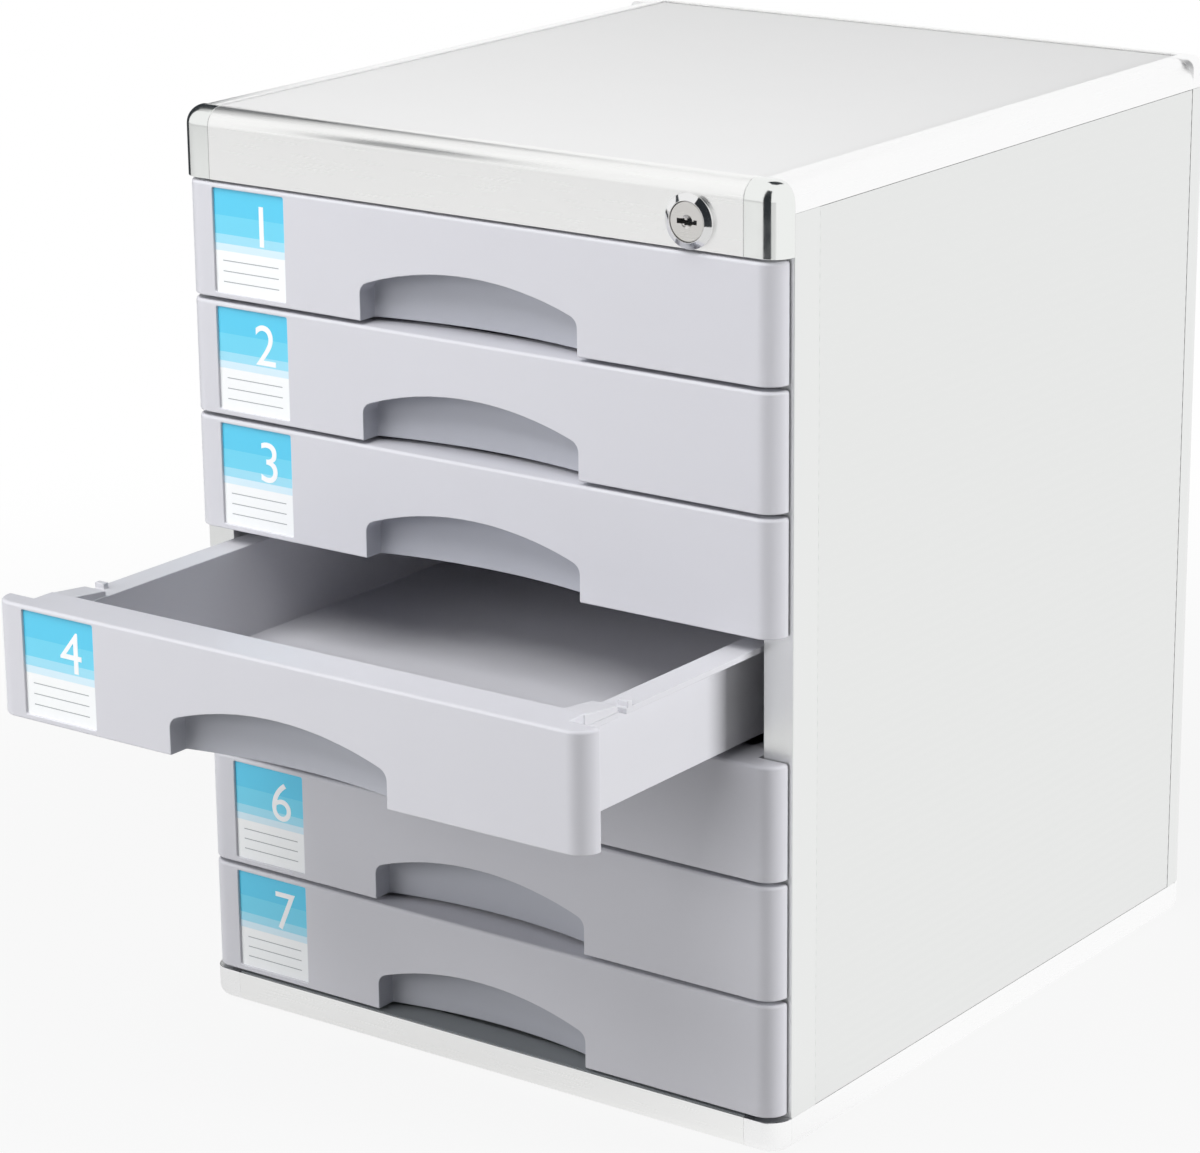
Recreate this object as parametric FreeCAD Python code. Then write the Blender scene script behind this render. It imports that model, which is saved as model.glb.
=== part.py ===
import FreeCAD, Part
import math
import os

# A desktop filing cabinet: a light-alloy frame with ribbed sides, a stack of shallow
# drawers that hang by their rims, and a cam lock in the top rail that bolts them all.
# Millimetres. X runs along the front to the right, Y from the front to the back, Z up.
# The origin is the middle of the closed cabinet's footprint, on the desk.

# Overall sizes
width = 300.0
depth = 337.0
foot_height = 2.0
base_rail_height = 14.0
top_rail_height = 29.4
drawer_count = 7
drawer_pitch = 50.2
front_gap = 1.2
open_drawer = 4
open_distance = 123.8

# Shared allowances
overrun = 1.0
joint_gap = 0.3
half_share = 0.5

# Rails, nosings and corner pieces of the frame
rail_wall = 1.8
plan_round_margin = 0.3
corner_width = 16.8
spigot_length = 10.0
spigot_fit = 0.3
front_nose_round = 8.0
front_nose_land = 0.2
front_rail_return = 14.0
side_nose_round = 10.0
side_nose_land = 1.2
side_nose_drop = 12.7
side_rail_return = 8.0
rear_nose_round = 4.0
rear_nose_land = 0.7
rear_cap_depth = 16.0
panel_seat = 6.0

# Top panel
top_panel_thickness = 4.0
top_panel_recess = 0.8

# Base ring and feet
base_round = 5.0
base_front_lip = 6.0
base_side_land = 1.0
base_front_flange = 9.0
base_side_flange = 24.0
base_panel_thickness = 3.0
base_panel_recess = 1.2
foot_size = 16.0
foot_inset = 14.0
foot_end_distance = 30.0

# Posts and walls
post_width = 14.0
front_post_depth = 17.0
post_wall = 1.8
front_post_round = 1.5
side_panel_thickness = 3.0
rib_pitch = 4.85
rib_depth = 0.3
back_panel_thickness = 2.5
back_panel_inset = 3.0

# Drawer fronts
front_side_inset = 2.0
front_end_gap = 0.5
front_corner_land = 0.5
front_body_depth = 18.0
front_tongue_clearance = 2.0
front_hook_gap = 0.3
front_wall = 3.0
front_rib = 3.0
recess_half_width = 54.5
recess_crown_height = 25.3
recess_side_height = 15.4
recess_corner_round = 5.0
recess_side_depth = 9.3
recess_middle_depth = 15.6
recess_back_round = 3.0
recess_wall = 2.4
recess_edge_break = 0.6

# Label pockets
label_left = 15.7
label_width = 38.3
label_bottom = 2.9
label_top_margin = 2.0
label_pocket_depth = 1.6
label_card_thickness = 0.5

# Drawer trays
tray_wall = 2.2
tray_floor = 2.0
tray_lift = 2.0
tray_rear_clearance = 11.0
tray_corner_cut = 5.0
rim_drop = 4.9
rim_thickness = 2.5
rim_side_clearance = 1.5
rim_overhang = 10.0
notch_start = 40.0
notch_length = 4.5
notch_depth = 7.0
catch_clearance = 1.0
catch_length = 3.0
catch_width = 5.0
catch_height = 2.5
stop_nib_inset = 1.0
stop_nib_width = 4.5
stop_nib_length = 4.0
stop_nib_from_rear = 31.0

# Runners
runner_front = 49.0
runner_rear_gap = 2.0
runner_plate = 2.5
runner_end_gap = 2.0
runner_clearance = 0.3
runner_ledge = 2.4
runner_ledge_reach = 1.5
hold_down_clearance = 0.6
hold_down_thickness = 2.0
hold_down_overlap = 3.0
hold_down_start = 13.0
stop_block_length = 4.0
pad_width = 9.0
pad_inset = 1.5

# Cam lock
lock_from_side = 41.0
lock_lift = 11.2
bezel_radius = 11.0
bezel_bevel = 1.8
bezel_proud = 3.2
lock_body_radius = 7.4
lock_body_length = 26.0
lock_hole_clearance = 0.1
plug_face_radius = 8.0
plug_face_recess = 0.6
plug_face_thickness = 1.8
plug_radius = 6.0
plug_clearance = 0.05
plug_end_play = 0.2
plug_tail = 2.0
keyway_width = 9.0
keyway_height = 2.2
keyway_depth = 8.0
nut_flats = 18.0
nut_thickness = 4.5
cam_half_width = 4.5
cam_toe = 3.5
cam_heel = 5.5
cam_toe_cut = 2.0
cam_thickness = 2.5
cam_square = 5.0
cam_screw_flats = 5.5
cam_screw_height = 1.5
crank_radius = 6.0
crank_pin_radius = 2.0
crank_start_angle = 45.0

# Lock bar and its guides
bar_offset = 2.5
bar_thickness = 2.0
bar_front = 38.0
bar_width = 8.0
arm_thickness = 2.5
arm_slot_play = 0.35
arm_slot_wall = 2.5
tab_thickness = 3.0
tab_lift = 0.6
tab_catch_overlap = 4.0
bar_tail = 4.0
guide_height = 6.0
guide_wall = 1.1
guide_play = 0.3
guide_lift = 27.0
guided_drawers = (2, 4, 6)

# Screws
screw_flats = 6.0
screw_head_height = 1.6
screw_rows = 4
screw_end_distance = 24.0

# Places that follow from the sizes
drawer_levels = range(1, drawer_count + 1)
half_width = width * half_share
front_plane = -depth * half_share
back_plane = depth * half_share
stack_bottom = foot_height + base_rail_height
stack_top = stack_bottom + drawer_count * drawer_pitch + front_gap
height = stack_top + top_rail_height
front_lip = front_nose_round + rail_wall + front_nose_land
side_lip = side_nose_round + rail_wall + side_nose_land
rear_lip = rear_nose_round + rail_wall + rear_nose_land
plan_round = front_lip - plan_round_margin
nosing_bottom = height - side_nose_drop
panel_top = height - top_panel_recess
panel_bottom = panel_top - top_panel_thickness
corner_inner = half_width - corner_width
post_inner = half_width - post_width
post_front = front_plane + front_lip
post_back = post_front + front_post_depth
rear_post_front = back_plane - rear_cap_depth
wall_inner = half_width - side_panel_thickness
base_side_lip = post_width + base_side_land
base_panel_top = stack_bottom - base_panel_recess
base_panel_bottom = base_panel_top - base_panel_thickness

front_height = drawer_pitch - front_gap
front_half_width = half_width - front_side_inset
front_end_depth = front_lip - front_end_gap
front_corner_round = front_end_depth - front_corner_land
tongue_half_width = post_inner - front_tongue_clearance
rim_top = front_height - rim_drop
rim_bottom = rim_top - rim_thickness
rim_half_width = post_inner - rim_side_clearance
tray_half_width = rim_half_width - rim_overhang
tray_front = front_plane + front_body_depth
tray_rear = back_plane - tray_rear_clearance
catch_front = front_plane + notch_start + notch_length + catch_clearance
stop_nib_front = tray_rear - stop_nib_from_rear

runner_inner = post_inner + rim_side_clearance
runner_outer = runner_inner + runner_plate
runner_start = front_plane + runner_front
runner_end = rear_post_front - runner_rear_gap
hold_down_front = runner_start + hold_down_start
stop_block_back = hold_down_front + stop_block_length
drawer_travel = stop_nib_front - stop_block_back - joint_gap

lock_x = half_width - lock_from_side
lock_z = stack_top + lock_lift
lock_body_end = front_plane + lock_body_length
cam_front = lock_body_end + plug_tail
bar_inner = post_inner + bar_offset - rim_side_clearance
bar_outer = bar_inner + bar_thickness
bar_y = front_plane + bar_front
crank_throw = crank_radius * math.sin(math.radians(crank_start_angle))
bar_travel = crank_throw + crank_throw


def front_bottom(level):
    """Height of the lower edge of a drawer front, counting drawers from the top."""
    return stack_top - level * drawer_pitch


def vec(x, y, z):
    return FreeCAD.Vector(x, y, z)


def box(x, y, z):
    """Block between pairs of low and high limits."""
    return Part.makeBox(x[1] - x[0], y[1] - y[0], z[1] - z[0], vec(x[0], y[0], z[0]))


def rod_along_y(radius, y, x_centre, z_centre):
    return Part.makeCylinder(radius, y[1] - y[0], vec(x_centre, y[0], z_centre), vec(0, 1, 0))


def round_step(centre, radius, middle_angle, end_angle):
    """Arc step of an outline: a point on the way, then the end, from a centre and angles."""
    step = []
    for angle in (middle_angle, end_angle):
        turn = math.radians(angle)
        step.append(centre[0] + radius * math.cos(turn))
        step.append(centre[1] + radius * math.sin(turn))
    return tuple(step)


def outline_face(steps, place):
    """Flat face inside an outline of straight steps (two values) and arcs (four values)."""
    edges = []
    here = place(*steps[0])
    for step in steps[1:] + steps[:1]:
        there = place(*step[-2:])
        if len(step) == 4:
            edges.append(Part.Arc(here, place(*step[:2]), there).toShape())
        else:
            edges.append(Part.LineSegment(here, there).toShape())
        here = there
    return Part.Face(Part.Wire(edges))


def hexagon_along_y(flats, y, x_centre, z_centre):
    """Six-sided block, measured across its flats, such as a nut or a screw head."""
    corner_radius = flats * half_share / math.cos(math.radians(30))
    steps = [round_step((x_centre, z_centre), corner_radius, 0, corner * 60)[2:] for corner in range(6)]
    return outline_face(steps, lambda x, z: vec(x, y[0], z)).extrude(vec(0, y[1] - y[0], 0))


def on_left(shape):
    """Mirror image of a right-hand piece."""
    return shape.mirror(vec(0, 0, 0), vec(1, 0, 0))


def both_sides(shapes):
    """Right-hand pieces and their mirror images, as one group."""
    return Part.makeCompound(shapes + [on_left(shape) for shape in shapes])


def from_front(inward, z):
    return vec(0, front_plane + inward, z)


def from_back(inward, z):
    return vec(0, back_plane - inward, z)


def from_right(inward, z):
    return vec(half_width - inward, 0, z)


def edges_where(shape, test, kind="Line"):
    """Edges of one kind of curve whose two ends both pass a test."""
    chosen = []
    for edge in shape.Edges:
        if type(edge.Curve).__name__ == kind and all(test(v.Point) for v in edge.Vertexes):
            chosen.append(edge)
    return chosen


def near(a, b):
    return abs(a - b) < joint_gap * half_share


# Top of the frame

def nosing_face(place, nose_round, lip, drop, foot):
    """Extruded nosing: outer wall, quarter round, lip, and a lower seat for the top panel."""
    bottom = height - drop
    seat_edge = lip + panel_seat
    seat_under = panel_bottom - rail_wall
    outer_centre = (nose_round, height - nose_round)
    steps = [
        (0, bottom),
        (0, height - nose_round),
        round_step(outer_centre, nose_round, 135, 90),
        (lip, height),
        (lip, panel_bottom),
        (seat_edge, panel_bottom),
        (seat_edge, seat_under),
        (lip - rail_wall, seat_under),
        (lip - rail_wall, height - rail_wall),
        (nose_round, height - rail_wall),
        round_step(outer_centre, nose_round - rail_wall, 135, 180),
        (rail_wall, bottom + rail_wall),
        (foot, bottom + rail_wall),
        (foot, bottom),
    ]
    return outline_face(steps, place)


def top_front_rail():
    face = nosing_face(from_front, front_nose_round, front_lip, top_rail_height, front_rail_return)
    face.translate(vec(-corner_inner, 0, 0))
    rail = face.extrude(vec(2 * corner_inner, 0, 0))
    hole_radius = lock_body_radius + lock_hole_clearance
    hole_span = (front_plane - overrun, front_plane + rail_wall + overrun)
    return rail.cut(rod_along_y(hole_radius, hole_span, lock_x, lock_z))


def top_rear_rail():
    face = nosing_face(from_back, rear_nose_round, rear_lip, side_nose_drop, rear_lip)
    face.translate(vec(-corner_inner, 0, 0))
    return face.extrude(vec(2 * corner_inner, 0, 0))


def top_side_rail():
    """Nosing along the right side, with its panel seat stopped short of the front rail's."""
    face = nosing_face(from_right, side_nose_round, side_lip, side_nose_drop, side_rail_return)
    start = front_plane + front_lip
    face.translate(vec(0, start, 0))
    rail = face.extrude(vec(0, rear_post_front - start, 0))
    seat_x = (corner_inner - panel_seat, half_width - side_lip)
    seat_y = (start - overrun, start + panel_seat + joint_gap)
    return rail.cut(box(seat_x, seat_y, (nosing_bottom, height)))


def rounded_corner_block(y, z, top_round):
    """Solid corner: rounded in plan at its outer edge and along its free rim."""
    block = box((corner_inner, half_width), y, z)
    front = y[0]
    upright = edges_where(block, lambda p: near(p.x, half_width) and near(p.y, front))
    block = block.makeFillet(plan_round, upright)
    rim_z = z[1]
    rim = []
    for edge in edges_where(block, lambda p: near(p.z, rim_z)):
        centre = edge.CenterOfMass
        on_inner_face = near(centre.x, corner_inner)
        on_back_face = near(centre.y, y[1])
        if not on_inner_face and not on_back_face:
            rim.append(edge)
    return block.makeFillet(top_round, rim)


def top_front_corner():
    """Moulded corner cap with a hollow back and a spigot that plugs into the front rail."""
    y = (front_plane, front_plane + front_lip)
    cap = rounded_corner_block(y, (stack_top, height), front_nose_round)
    inner_x = (corner_inner + rail_wall, half_width - plan_round)
    hollow_y = (y[0] + rail_wall, y[1] + overrun)
    hollow_z = (stack_top + rail_wall, height - front_nose_round)
    cap = cap.cut(box(inner_x, hollow_y, hollow_z))
    spigot_x = (corner_inner - spigot_length, corner_inner + rail_wall)
    spigot_y = (y[0] + rail_wall + spigot_fit, y[1] - rail_wall - spigot_fit)
    spigot_z = (stack_top + rail_wall + spigot_fit, height - front_nose_round)
    return cap.fuse(box(spigot_x, spigot_y, spigot_z)).removeSplitter()


def top_rear_corner():
    """Rear end cap of the side nosing, cut away round the top panel."""
    block = rounded_corner_block((-back_plane, rear_cap_depth - back_plane),
                                 (nosing_bottom, height), rear_nose_round)
    cap = block.mirror(vec(0, 0, 0), vec(0, 1, 0))
    panel_x = (corner_inner - overrun, half_width - side_lip)
    panel_y = (rear_post_front - overrun, back_plane - rear_lip)
    return cap.cut(box(panel_x, panel_y, (nosing_bottom - overrun, height + overrun)))


def top_panel():
    """Flat board dropped into the seats of the four nosings."""
    side = half_width - side_lip - joint_gap
    y = (front_plane + front_lip + joint_gap, back_plane - rear_lip - joint_gap)
    return box((-side, side), y, (panel_bottom, panel_top))


# Walls

def front_post():
    """Square tube beside the drawer openings, its outer front edge slightly rounded."""
    x = (post_inner, half_width)
    y = (post_front, post_back)
    z = (stack_bottom, nosing_bottom)
    tube = box(x, y, z)
    edge = edges_where(tube, lambda p: near(p.x, half_width) and near(p.y, post_front))
    tube = tube.makeFillet(front_post_round, edge)
    hollow_x = (x[0] + post_wall, x[1] - post_wall)
    hollow_y = (y[0] + post_wall, y[1] - post_wall)
    return tube.cut(box(hollow_x, hollow_y, (z[0] - overrun, z[1] + overrun)))


def rear_post():
    """Rear upright, rounded in plan like the corner caps above and below it."""
    x = (post_inner, half_width)
    y = (rear_post_front, back_plane)
    z = (stack_bottom, nosing_bottom)
    tube = box(x, y, z)
    edge = edges_where(tube, lambda p: near(p.x, half_width) and near(p.y, back_plane))
    tube = tube.makeFillet(plan_round, edge)
    hollow_x = (x[0] + post_wall, half_width - plan_round + post_wall)
    hollow_y = (y[0] + post_wall, y[1] - plan_round + post_wall)
    return tube.cut(box(hollow_x, hollow_y, (z[0] - overrun, z[1] + overrun)))


def side_panel():
    """Extruded side sheet whose outer face runs in and out in shallow ribs."""
    bottom = stack_bottom
    top = nosing_bottom
    rib_count = int((top - bottom) / rib_pitch)
    first = bottom + (top - bottom - rib_count * rib_pitch) * half_share
    steps = [(side_panel_thickness, bottom), (rib_depth, bottom)]
    for rib in range(rib_count):
        root = first + rib * rib_pitch
        steps += [(rib_depth, root), (0, root + rib_pitch * half_share)]
    steps += [(rib_depth, first + rib_count * rib_pitch), (rib_depth, top), (side_panel_thickness, top)]
    face = outline_face(steps, from_right)
    face.translate(vec(0, post_back, 0))
    return face.extrude(vec(0, rear_post_front - post_back, 0))


def back_panel():
    side = post_inner - joint_gap
    y = (back_plane - back_panel_inset - back_panel_thickness, back_plane - back_panel_inset)
    return box((-side, side), y, (stack_bottom, nosing_bottom))


# Base ring

def base_face(place, lip, flange):
    """Extruded base rail: rounded foot edge, top lip, a lower seat and a bottom flange."""
    top = stack_bottom
    bottom = foot_height
    seat_under = base_panel_bottom - rail_wall
    seat_edge = lip + panel_seat
    centre = (base_round, bottom + base_round)
    steps = [
        (0, top),
        (0, bottom + base_round),
        round_step(centre, base_round, 225, 270),
        (flange, bottom),
        (flange, bottom + rail_wall),
        (base_round, bottom + rail_wall),
        round_step(centre, base_round - rail_wall, 225, 180),
        (rail_wall, seat_under),
        (seat_edge, seat_under),
        (seat_edge, base_panel_bottom),
        (lip, base_panel_bottom),
        (lip, top),
    ]
    return outline_face(steps, place)


def base_front_rail():
    face = base_face(from_front, base_front_lip, base_front_flange)
    face.translate(vec(-corner_inner, 0, 0))
    return face.extrude(vec(2 * corner_inner, 0, 0))


def base_rear_rail():
    face = base_face(from_back, base_front_lip, base_front_flange)
    face.translate(vec(-corner_inner, 0, 0))
    return face.extrude(vec(2 * corner_inner, 0, 0))


def base_side_rail():
    """Side of the base ring; its seat stops short of the seats of the front and rear rails."""
    face = base_face(from_right, base_side_lip, base_side_flange)
    ends = (front_plane + front_lip, back_plane - front_lip)
    face.translate(vec(0, ends[0], 0))
    rail = face.extrude(vec(0, ends[1] - ends[0], 0))
    seat_x = (half_width - base_side_lip - panel_seat - overrun, half_width - base_side_lip)
    seat_z = (base_panel_bottom - rail_wall - overrun, stack_bottom + overrun)
    reach = base_front_lip + panel_seat + joint_gap
    for y in ((front_plane, front_plane + reach), (back_plane - reach, back_plane)):
        rail = rail.cut(box(seat_x, y, seat_z))
    return rail


def base_front_corner():
    """Corner of the base ring, with a spigot that plugs into the front rail."""
    z = (foot_height, stack_bottom)
    upside_down = rounded_corner_block((front_plane, front_plane + front_lip),
                                       (-z[1], -z[0]), base_round)
    block = upside_down.mirror(vec(0, 0, 0), vec(0, 0, 1))
    spigot_x = (corner_inner - spigot_length, corner_inner + overrun)
    spigot_y = (front_plane + rail_wall + spigot_fit, front_plane + front_lip - spigot_fit)
    seat_under = base_panel_bottom - rail_wall
    spigot_z = (foot_height + base_round, seat_under - spigot_fit)
    return block.fuse(box(spigot_x, spigot_y, spigot_z)).removeSplitter()


def base_rear_corner():
    return base_front_corner().mirror(vec(0, 0, 0), vec(0, 1, 0))


def base_panel():
    side = corner_inner - joint_gap
    front = front_plane + base_front_lip + joint_gap
    return box((-side, side), (front, -front), (base_panel_bottom, base_panel_top))


def foot_pads():
    """Four square rubber pads stuck under the side rails."""
    half = foot_size * half_share
    x = (half_width - foot_inset - half, half_width - foot_inset + half)
    pads = []
    for y in (front_plane + foot_end_distance, back_plane - foot_end_distance):
        pads.append(box(x, (y - half, y + half), (0, foot_height)))
    return both_sides(pads)


# Runners

def runner_ledges():
    """Ledges on the right runner wall, one below the rim of each drawer."""
    ledges = []
    for level in drawer_levels:
        ledge_top = front_bottom(level) + rim_bottom - runner_clearance
        ledges.append(box((tray_half_width + runner_ledge_reach, runner_inner),
                          (runner_start, runner_end), (ledge_top - runner_ledge, ledge_top)))
    return Part.makeCompound(ledges)


def hold_downs():
    """Strips above the rims on the right runner wall, each with a stop block at its front end."""
    strips = []
    lip_inner = rim_half_width - hold_down_overlap
    for level in drawer_levels:
        under = front_bottom(level) + rim_top + hold_down_clearance
        z = (under, under + hold_down_thickness)
        strip = box((lip_inner, runner_inner), (hold_down_front, runner_end), z)
        block = box((tray_half_width + stop_nib_inset, lip_inner),
                    (hold_down_front, stop_block_back), z)
        strips.append(strip.fuse(block).removeSplitter())
    return Part.makeCompound(strips)


def runner_wall():
    """Upright plate inside the right wall that carries the rails, and the pads it stands on."""
    bottom = stack_bottom + runner_end_gap
    top = stack_top - runner_end_gap
    plate = box((runner_inner, runner_outer), (runner_start, runner_end), (bottom, top))
    pads = []
    for level in (drawer_levels[0], drawer_levels[-1]):
        z = front_bottom(level) + rim_bottom
        for y in (runner_start + pad_inset, runner_end - pad_inset - pad_width):
            pads.append(box((runner_outer, wall_inner), (y, y + pad_width), (z - pad_width, z)))
    return Part.makeCompound([plate] + pads)


# Drawers, each drawn closed with its lower edge at z = 0

def recess_shape(grow):
    """Finger recess: an arched outline seen from the front, with a back wall curved in plan."""
    side = recess_half_width + grow
    front = front_plane - overrun
    arch = outline_face([
        (-side, -overrun),
        (-side, recess_side_height),
        (0, recess_crown_height + grow, side, recess_side_height),
        (side, -overrun),
    ], lambda x, z: vec(x, front, z)).extrude(vec(0, front_body_depth + overrun, 0))
    shoulders = edges_where(arch, lambda p: near(abs(p.x), side) and near(p.z, recess_side_height))
    arch = arch.makeFillet(recess_corner_round, shoulders)
    side_y = front_plane + recess_side_depth + grow
    middle_y = front_plane + recess_middle_depth + grow
    plan = outline_face([
        (-side, front),
        (-side, side_y),
        (0, middle_y, side, side_y),
        (side, front),
    ], lambda x, y: vec(x, y, -overrun)).extrude(vec(0, 0, front_height))
    corners = edges_where(plan, lambda p: near(abs(p.x), side) and near(p.y, side_y))
    plan = plan.makeFillet(recess_back_round, corners)
    return arch.common(plan)


def front_block():
    """Outer form of a front: rounded ends, and a deeper middle that enters the opening."""
    half = front_half_width
    ends = front_end_depth
    body = front_body_depth
    round_x = half - front_corner_round
    centre_left = (-round_x, front_corner_round)
    centre_right = (round_x, front_corner_round)
    face = outline_face([
        (-half, ends),
        (-half, front_corner_round),
        round_step(centre_left, front_corner_round, 225, 270),
        (round_x, 0),
        round_step(centre_right, front_corner_round, 315, 360),
        (half, ends),
        (tongue_half_width, ends),
        (tongue_half_width, body),
        (-tongue_half_width, body),
        (-tongue_half_width, ends),
    ], lambda x, y: vec(x, front_plane + y, 0))
    return face.extrude(vec(0, 0, front_height))


def soften_recess(front):
    """Small bevel round the mouth of the finger recess."""
    limit = recess_half_width + joint_gap
    edges = []
    for kind in ("Line", "Circle"):
        edges += edges_where(front, lambda p: near(p.y, front_plane) and abs(p.x) < limit, kind)
    return front.makeChamfer(recess_edge_break, edges)


def front_pockets():
    """Hollows moulded into the back of a front, with ribs left between them."""
    y = (front_plane + front_wall, front_plane + front_body_depth + overrun)
    outer = tongue_half_width - front_wall
    inner = recess_half_width + recess_wall + front_rib * half_share
    low = front_wall
    high = rim_top - front_wall
    above_recess = recess_crown_height + recess_wall
    pockets = [
        box((-outer, -inner), (y[0] + label_pocket_depth, y[1]), (low, high)),
        box((inner, outer), y, (low, high)),
        box((-inner + front_rib, inner - front_rib), y, (above_recess, high)),
    ]
    return pockets


def drawer_front():
    """Moulded front: finger recess, label pocket, hollow back and a lip over the tray wall."""
    front = front_block().cut(recess_shape(0))
    front = soften_recess(front)
    front = front.cut(front_pockets())
    lip_z = (rim_top + front_hook_gap, front_height)
    back = front_plane + front_body_depth
    lip = box((-tongue_half_width, tongue_half_width), (back, back + tray_wall), lip_z)
    label_x = (label_left - front_half_width, label_left - front_half_width + label_width)
    label_y = (front_plane - overrun, front_plane + label_pocket_depth)
    label_z = (label_bottom, front_height - label_top_margin)
    return front.fuse(lip).cut(box(label_x, label_y, label_z)).removeSplitter()


def drawer_label():
    """Card lying on the floor of the label pocket."""
    x = (label_left - front_half_width, label_left - front_half_width + label_width)
    floor = front_plane + label_pocket_depth
    return box(x, (floor - label_card_thickness, floor), (label_bottom, front_height - label_top_margin))


def tray_block(inset, z):
    """Upright block inset from the tray's outer faces, with its rear corners cut off."""
    x = (inset - tray_half_width, tray_half_width - inset)
    back = tray_rear - inset
    block = box(x, (tray_front + inset, back), z)
    upright = []
    for side in x:
        upright += edges_where(block, lambda p: near(p.x, side) and near(p.y, back))
    return block.makeChamfer(tray_corner_cut, upright)


def drawer_tray():
    """Open tray that hangs by its rim, with lock notches, catches and stops on the rim."""
    floor_z = tray_lift + tray_floor
    cavity = tray_block(tray_wall, (floor_z, front_height))
    shell = tray_block(0, (tray_lift, rim_top))
    rim = box((-rim_half_width, rim_half_width), (tray_front, tray_rear), (rim_bottom, rim_top))
    tray = shell.fuse(rim).cut(cavity)
    notch_y = (front_plane + notch_start, front_plane + notch_start + notch_length)
    notch_z = (rim_bottom - overrun, rim_top + overrun)
    notch = box((rim_half_width - notch_depth, rim_half_width + overrun), notch_y, notch_z)
    top_z = (rim_top, rim_top + catch_height)
    catch = box((rim_half_width - catch_width, rim_half_width),
                (catch_front, catch_front + catch_length), top_z)
    nib_inner = tray_half_width + stop_nib_inset
    nib = box((nib_inner, nib_inner + stop_nib_width),
              (stop_nib_front, stop_nib_front + stop_nib_length), top_z)
    for piece in (notch, on_left(notch)):
        tray = tray.cut(piece)
    return tray.fuse([catch, nib, on_left(catch), on_left(nib)]).removeSplitter()


# Cam lock

def turned_about_lock(steps):
    """Solid of revolution about the lock's axis; steps give distance in and radius."""
    face = outline_face(steps, lambda y, radius: vec(lock_x, front_plane + y, lock_z + radius))
    return face.revolve(vec(lock_x, 0, lock_z), vec(0, 1, 0), 360)


def lock_housing():
    """Bevelled bezel and body, bored for the plug."""
    face_bore = plug_face_radius + plug_clearance
    bore = plug_radius + plug_clearance
    bezel_floor = plug_face_recess + plug_face_thickness + plug_end_play - bezel_proud
    return turned_about_lock([
        (0, lock_body_radius),
        (0, bezel_radius),
        (-bezel_proud, bezel_radius - bezel_bevel),
        (-bezel_proud, face_bore),
        (bezel_floor, face_bore),
        (bezel_floor, bore),
        (lock_body_length, bore),
        (lock_body_length, lock_body_radius),
    ])


def lock_plug():
    """Turning plug with its keyway, a square tail for the cam and a retaining screw head."""
    face_y = plug_face_recess - bezel_proud
    shoulder_y = face_y + plug_face_thickness
    tail_y = lock_body_length + plug_tail
    plug = turned_about_lock([
        (face_y, 0),
        (face_y, plug_face_radius),
        (shoulder_y, plug_face_radius),
        (shoulder_y, plug_radius),
        (tail_y, plug_radius),
        (tail_y, 0),
    ])
    half_key = keyway_width * half_share
    half_slot = keyway_height * half_share
    key_y = front_plane + face_y
    keyway = box((lock_x - half_key, lock_x + half_key), (key_y - overrun, key_y + keyway_depth),
                 (lock_z - half_slot, lock_z + half_slot))
    half_square = cam_square * half_share
    square = box((lock_x - half_square, lock_x + half_square), (cam_front, cam_front + cam_thickness),
                 (lock_z - half_square, lock_z + half_square))
    screw_y = (cam_front + cam_thickness, cam_front + cam_thickness + cam_screw_height)
    screw = hexagon_along_y(cam_screw_flats, screw_y, lock_x, lock_z)
    return plug.cut(keyway).fuse([square, screw])


def lock_cam():
    """Flat lever on the plug's square tail, with the crank pin that moves the lock bar."""
    toe = crank_radius + cam_toe
    steps = [
        (-cam_heel, -cam_half_width),
        (toe - cam_toe_cut, -cam_half_width),
        (toe, cam_toe_cut - cam_half_width),
        (toe, cam_half_width - cam_toe_cut),
        (toe - cam_toe_cut, cam_half_width),
        (-cam_heel, cam_half_width),
    ]
    axis = vec(0, -1, 0)
    centre = vec(lock_x, 0, lock_z)
    lever = outline_face(steps, lambda x, z: vec(lock_x + x, cam_front, lock_z + z))
    lever.rotate(centre, axis, crank_start_angle)
    lever = lever.extrude(vec(0, cam_thickness, 0))
    half_square = cam_square * half_share
    hole_y = (cam_front - overrun, cam_front + cam_thickness + overrun)
    hole = box((lock_x - half_square, lock_x + half_square), hole_y,
               (lock_z - half_square, lock_z + half_square))
    pin_y = (cam_front, bar_y + arm_thickness + joint_gap)
    pin = rod_along_y(crank_pin_radius, pin_y, lock_x + crank_throw, lock_z + crank_throw)
    return lever.cut(hole).fuse(pin)


def lock_nut():
    """Slim hexagon nut that clamps the housing to the front rail."""
    nut_y = (front_plane + rail_wall, front_plane + rail_wall + nut_thickness)
    nut = hexagon_along_y(nut_flats, nut_y, lock_x, lock_z)
    bore_y = (nut_y[0] - overrun, nut_y[1] + overrun)
    return nut.cut(rod_along_y(lock_body_radius + plug_clearance, bore_y, lock_x, lock_z))


def tab_bottom(level):
    """Height of a locking tab at rest, above its drawer's rim by the bar's travel."""
    return front_bottom(level) + rim_top + tab_lift + bar_travel


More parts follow.
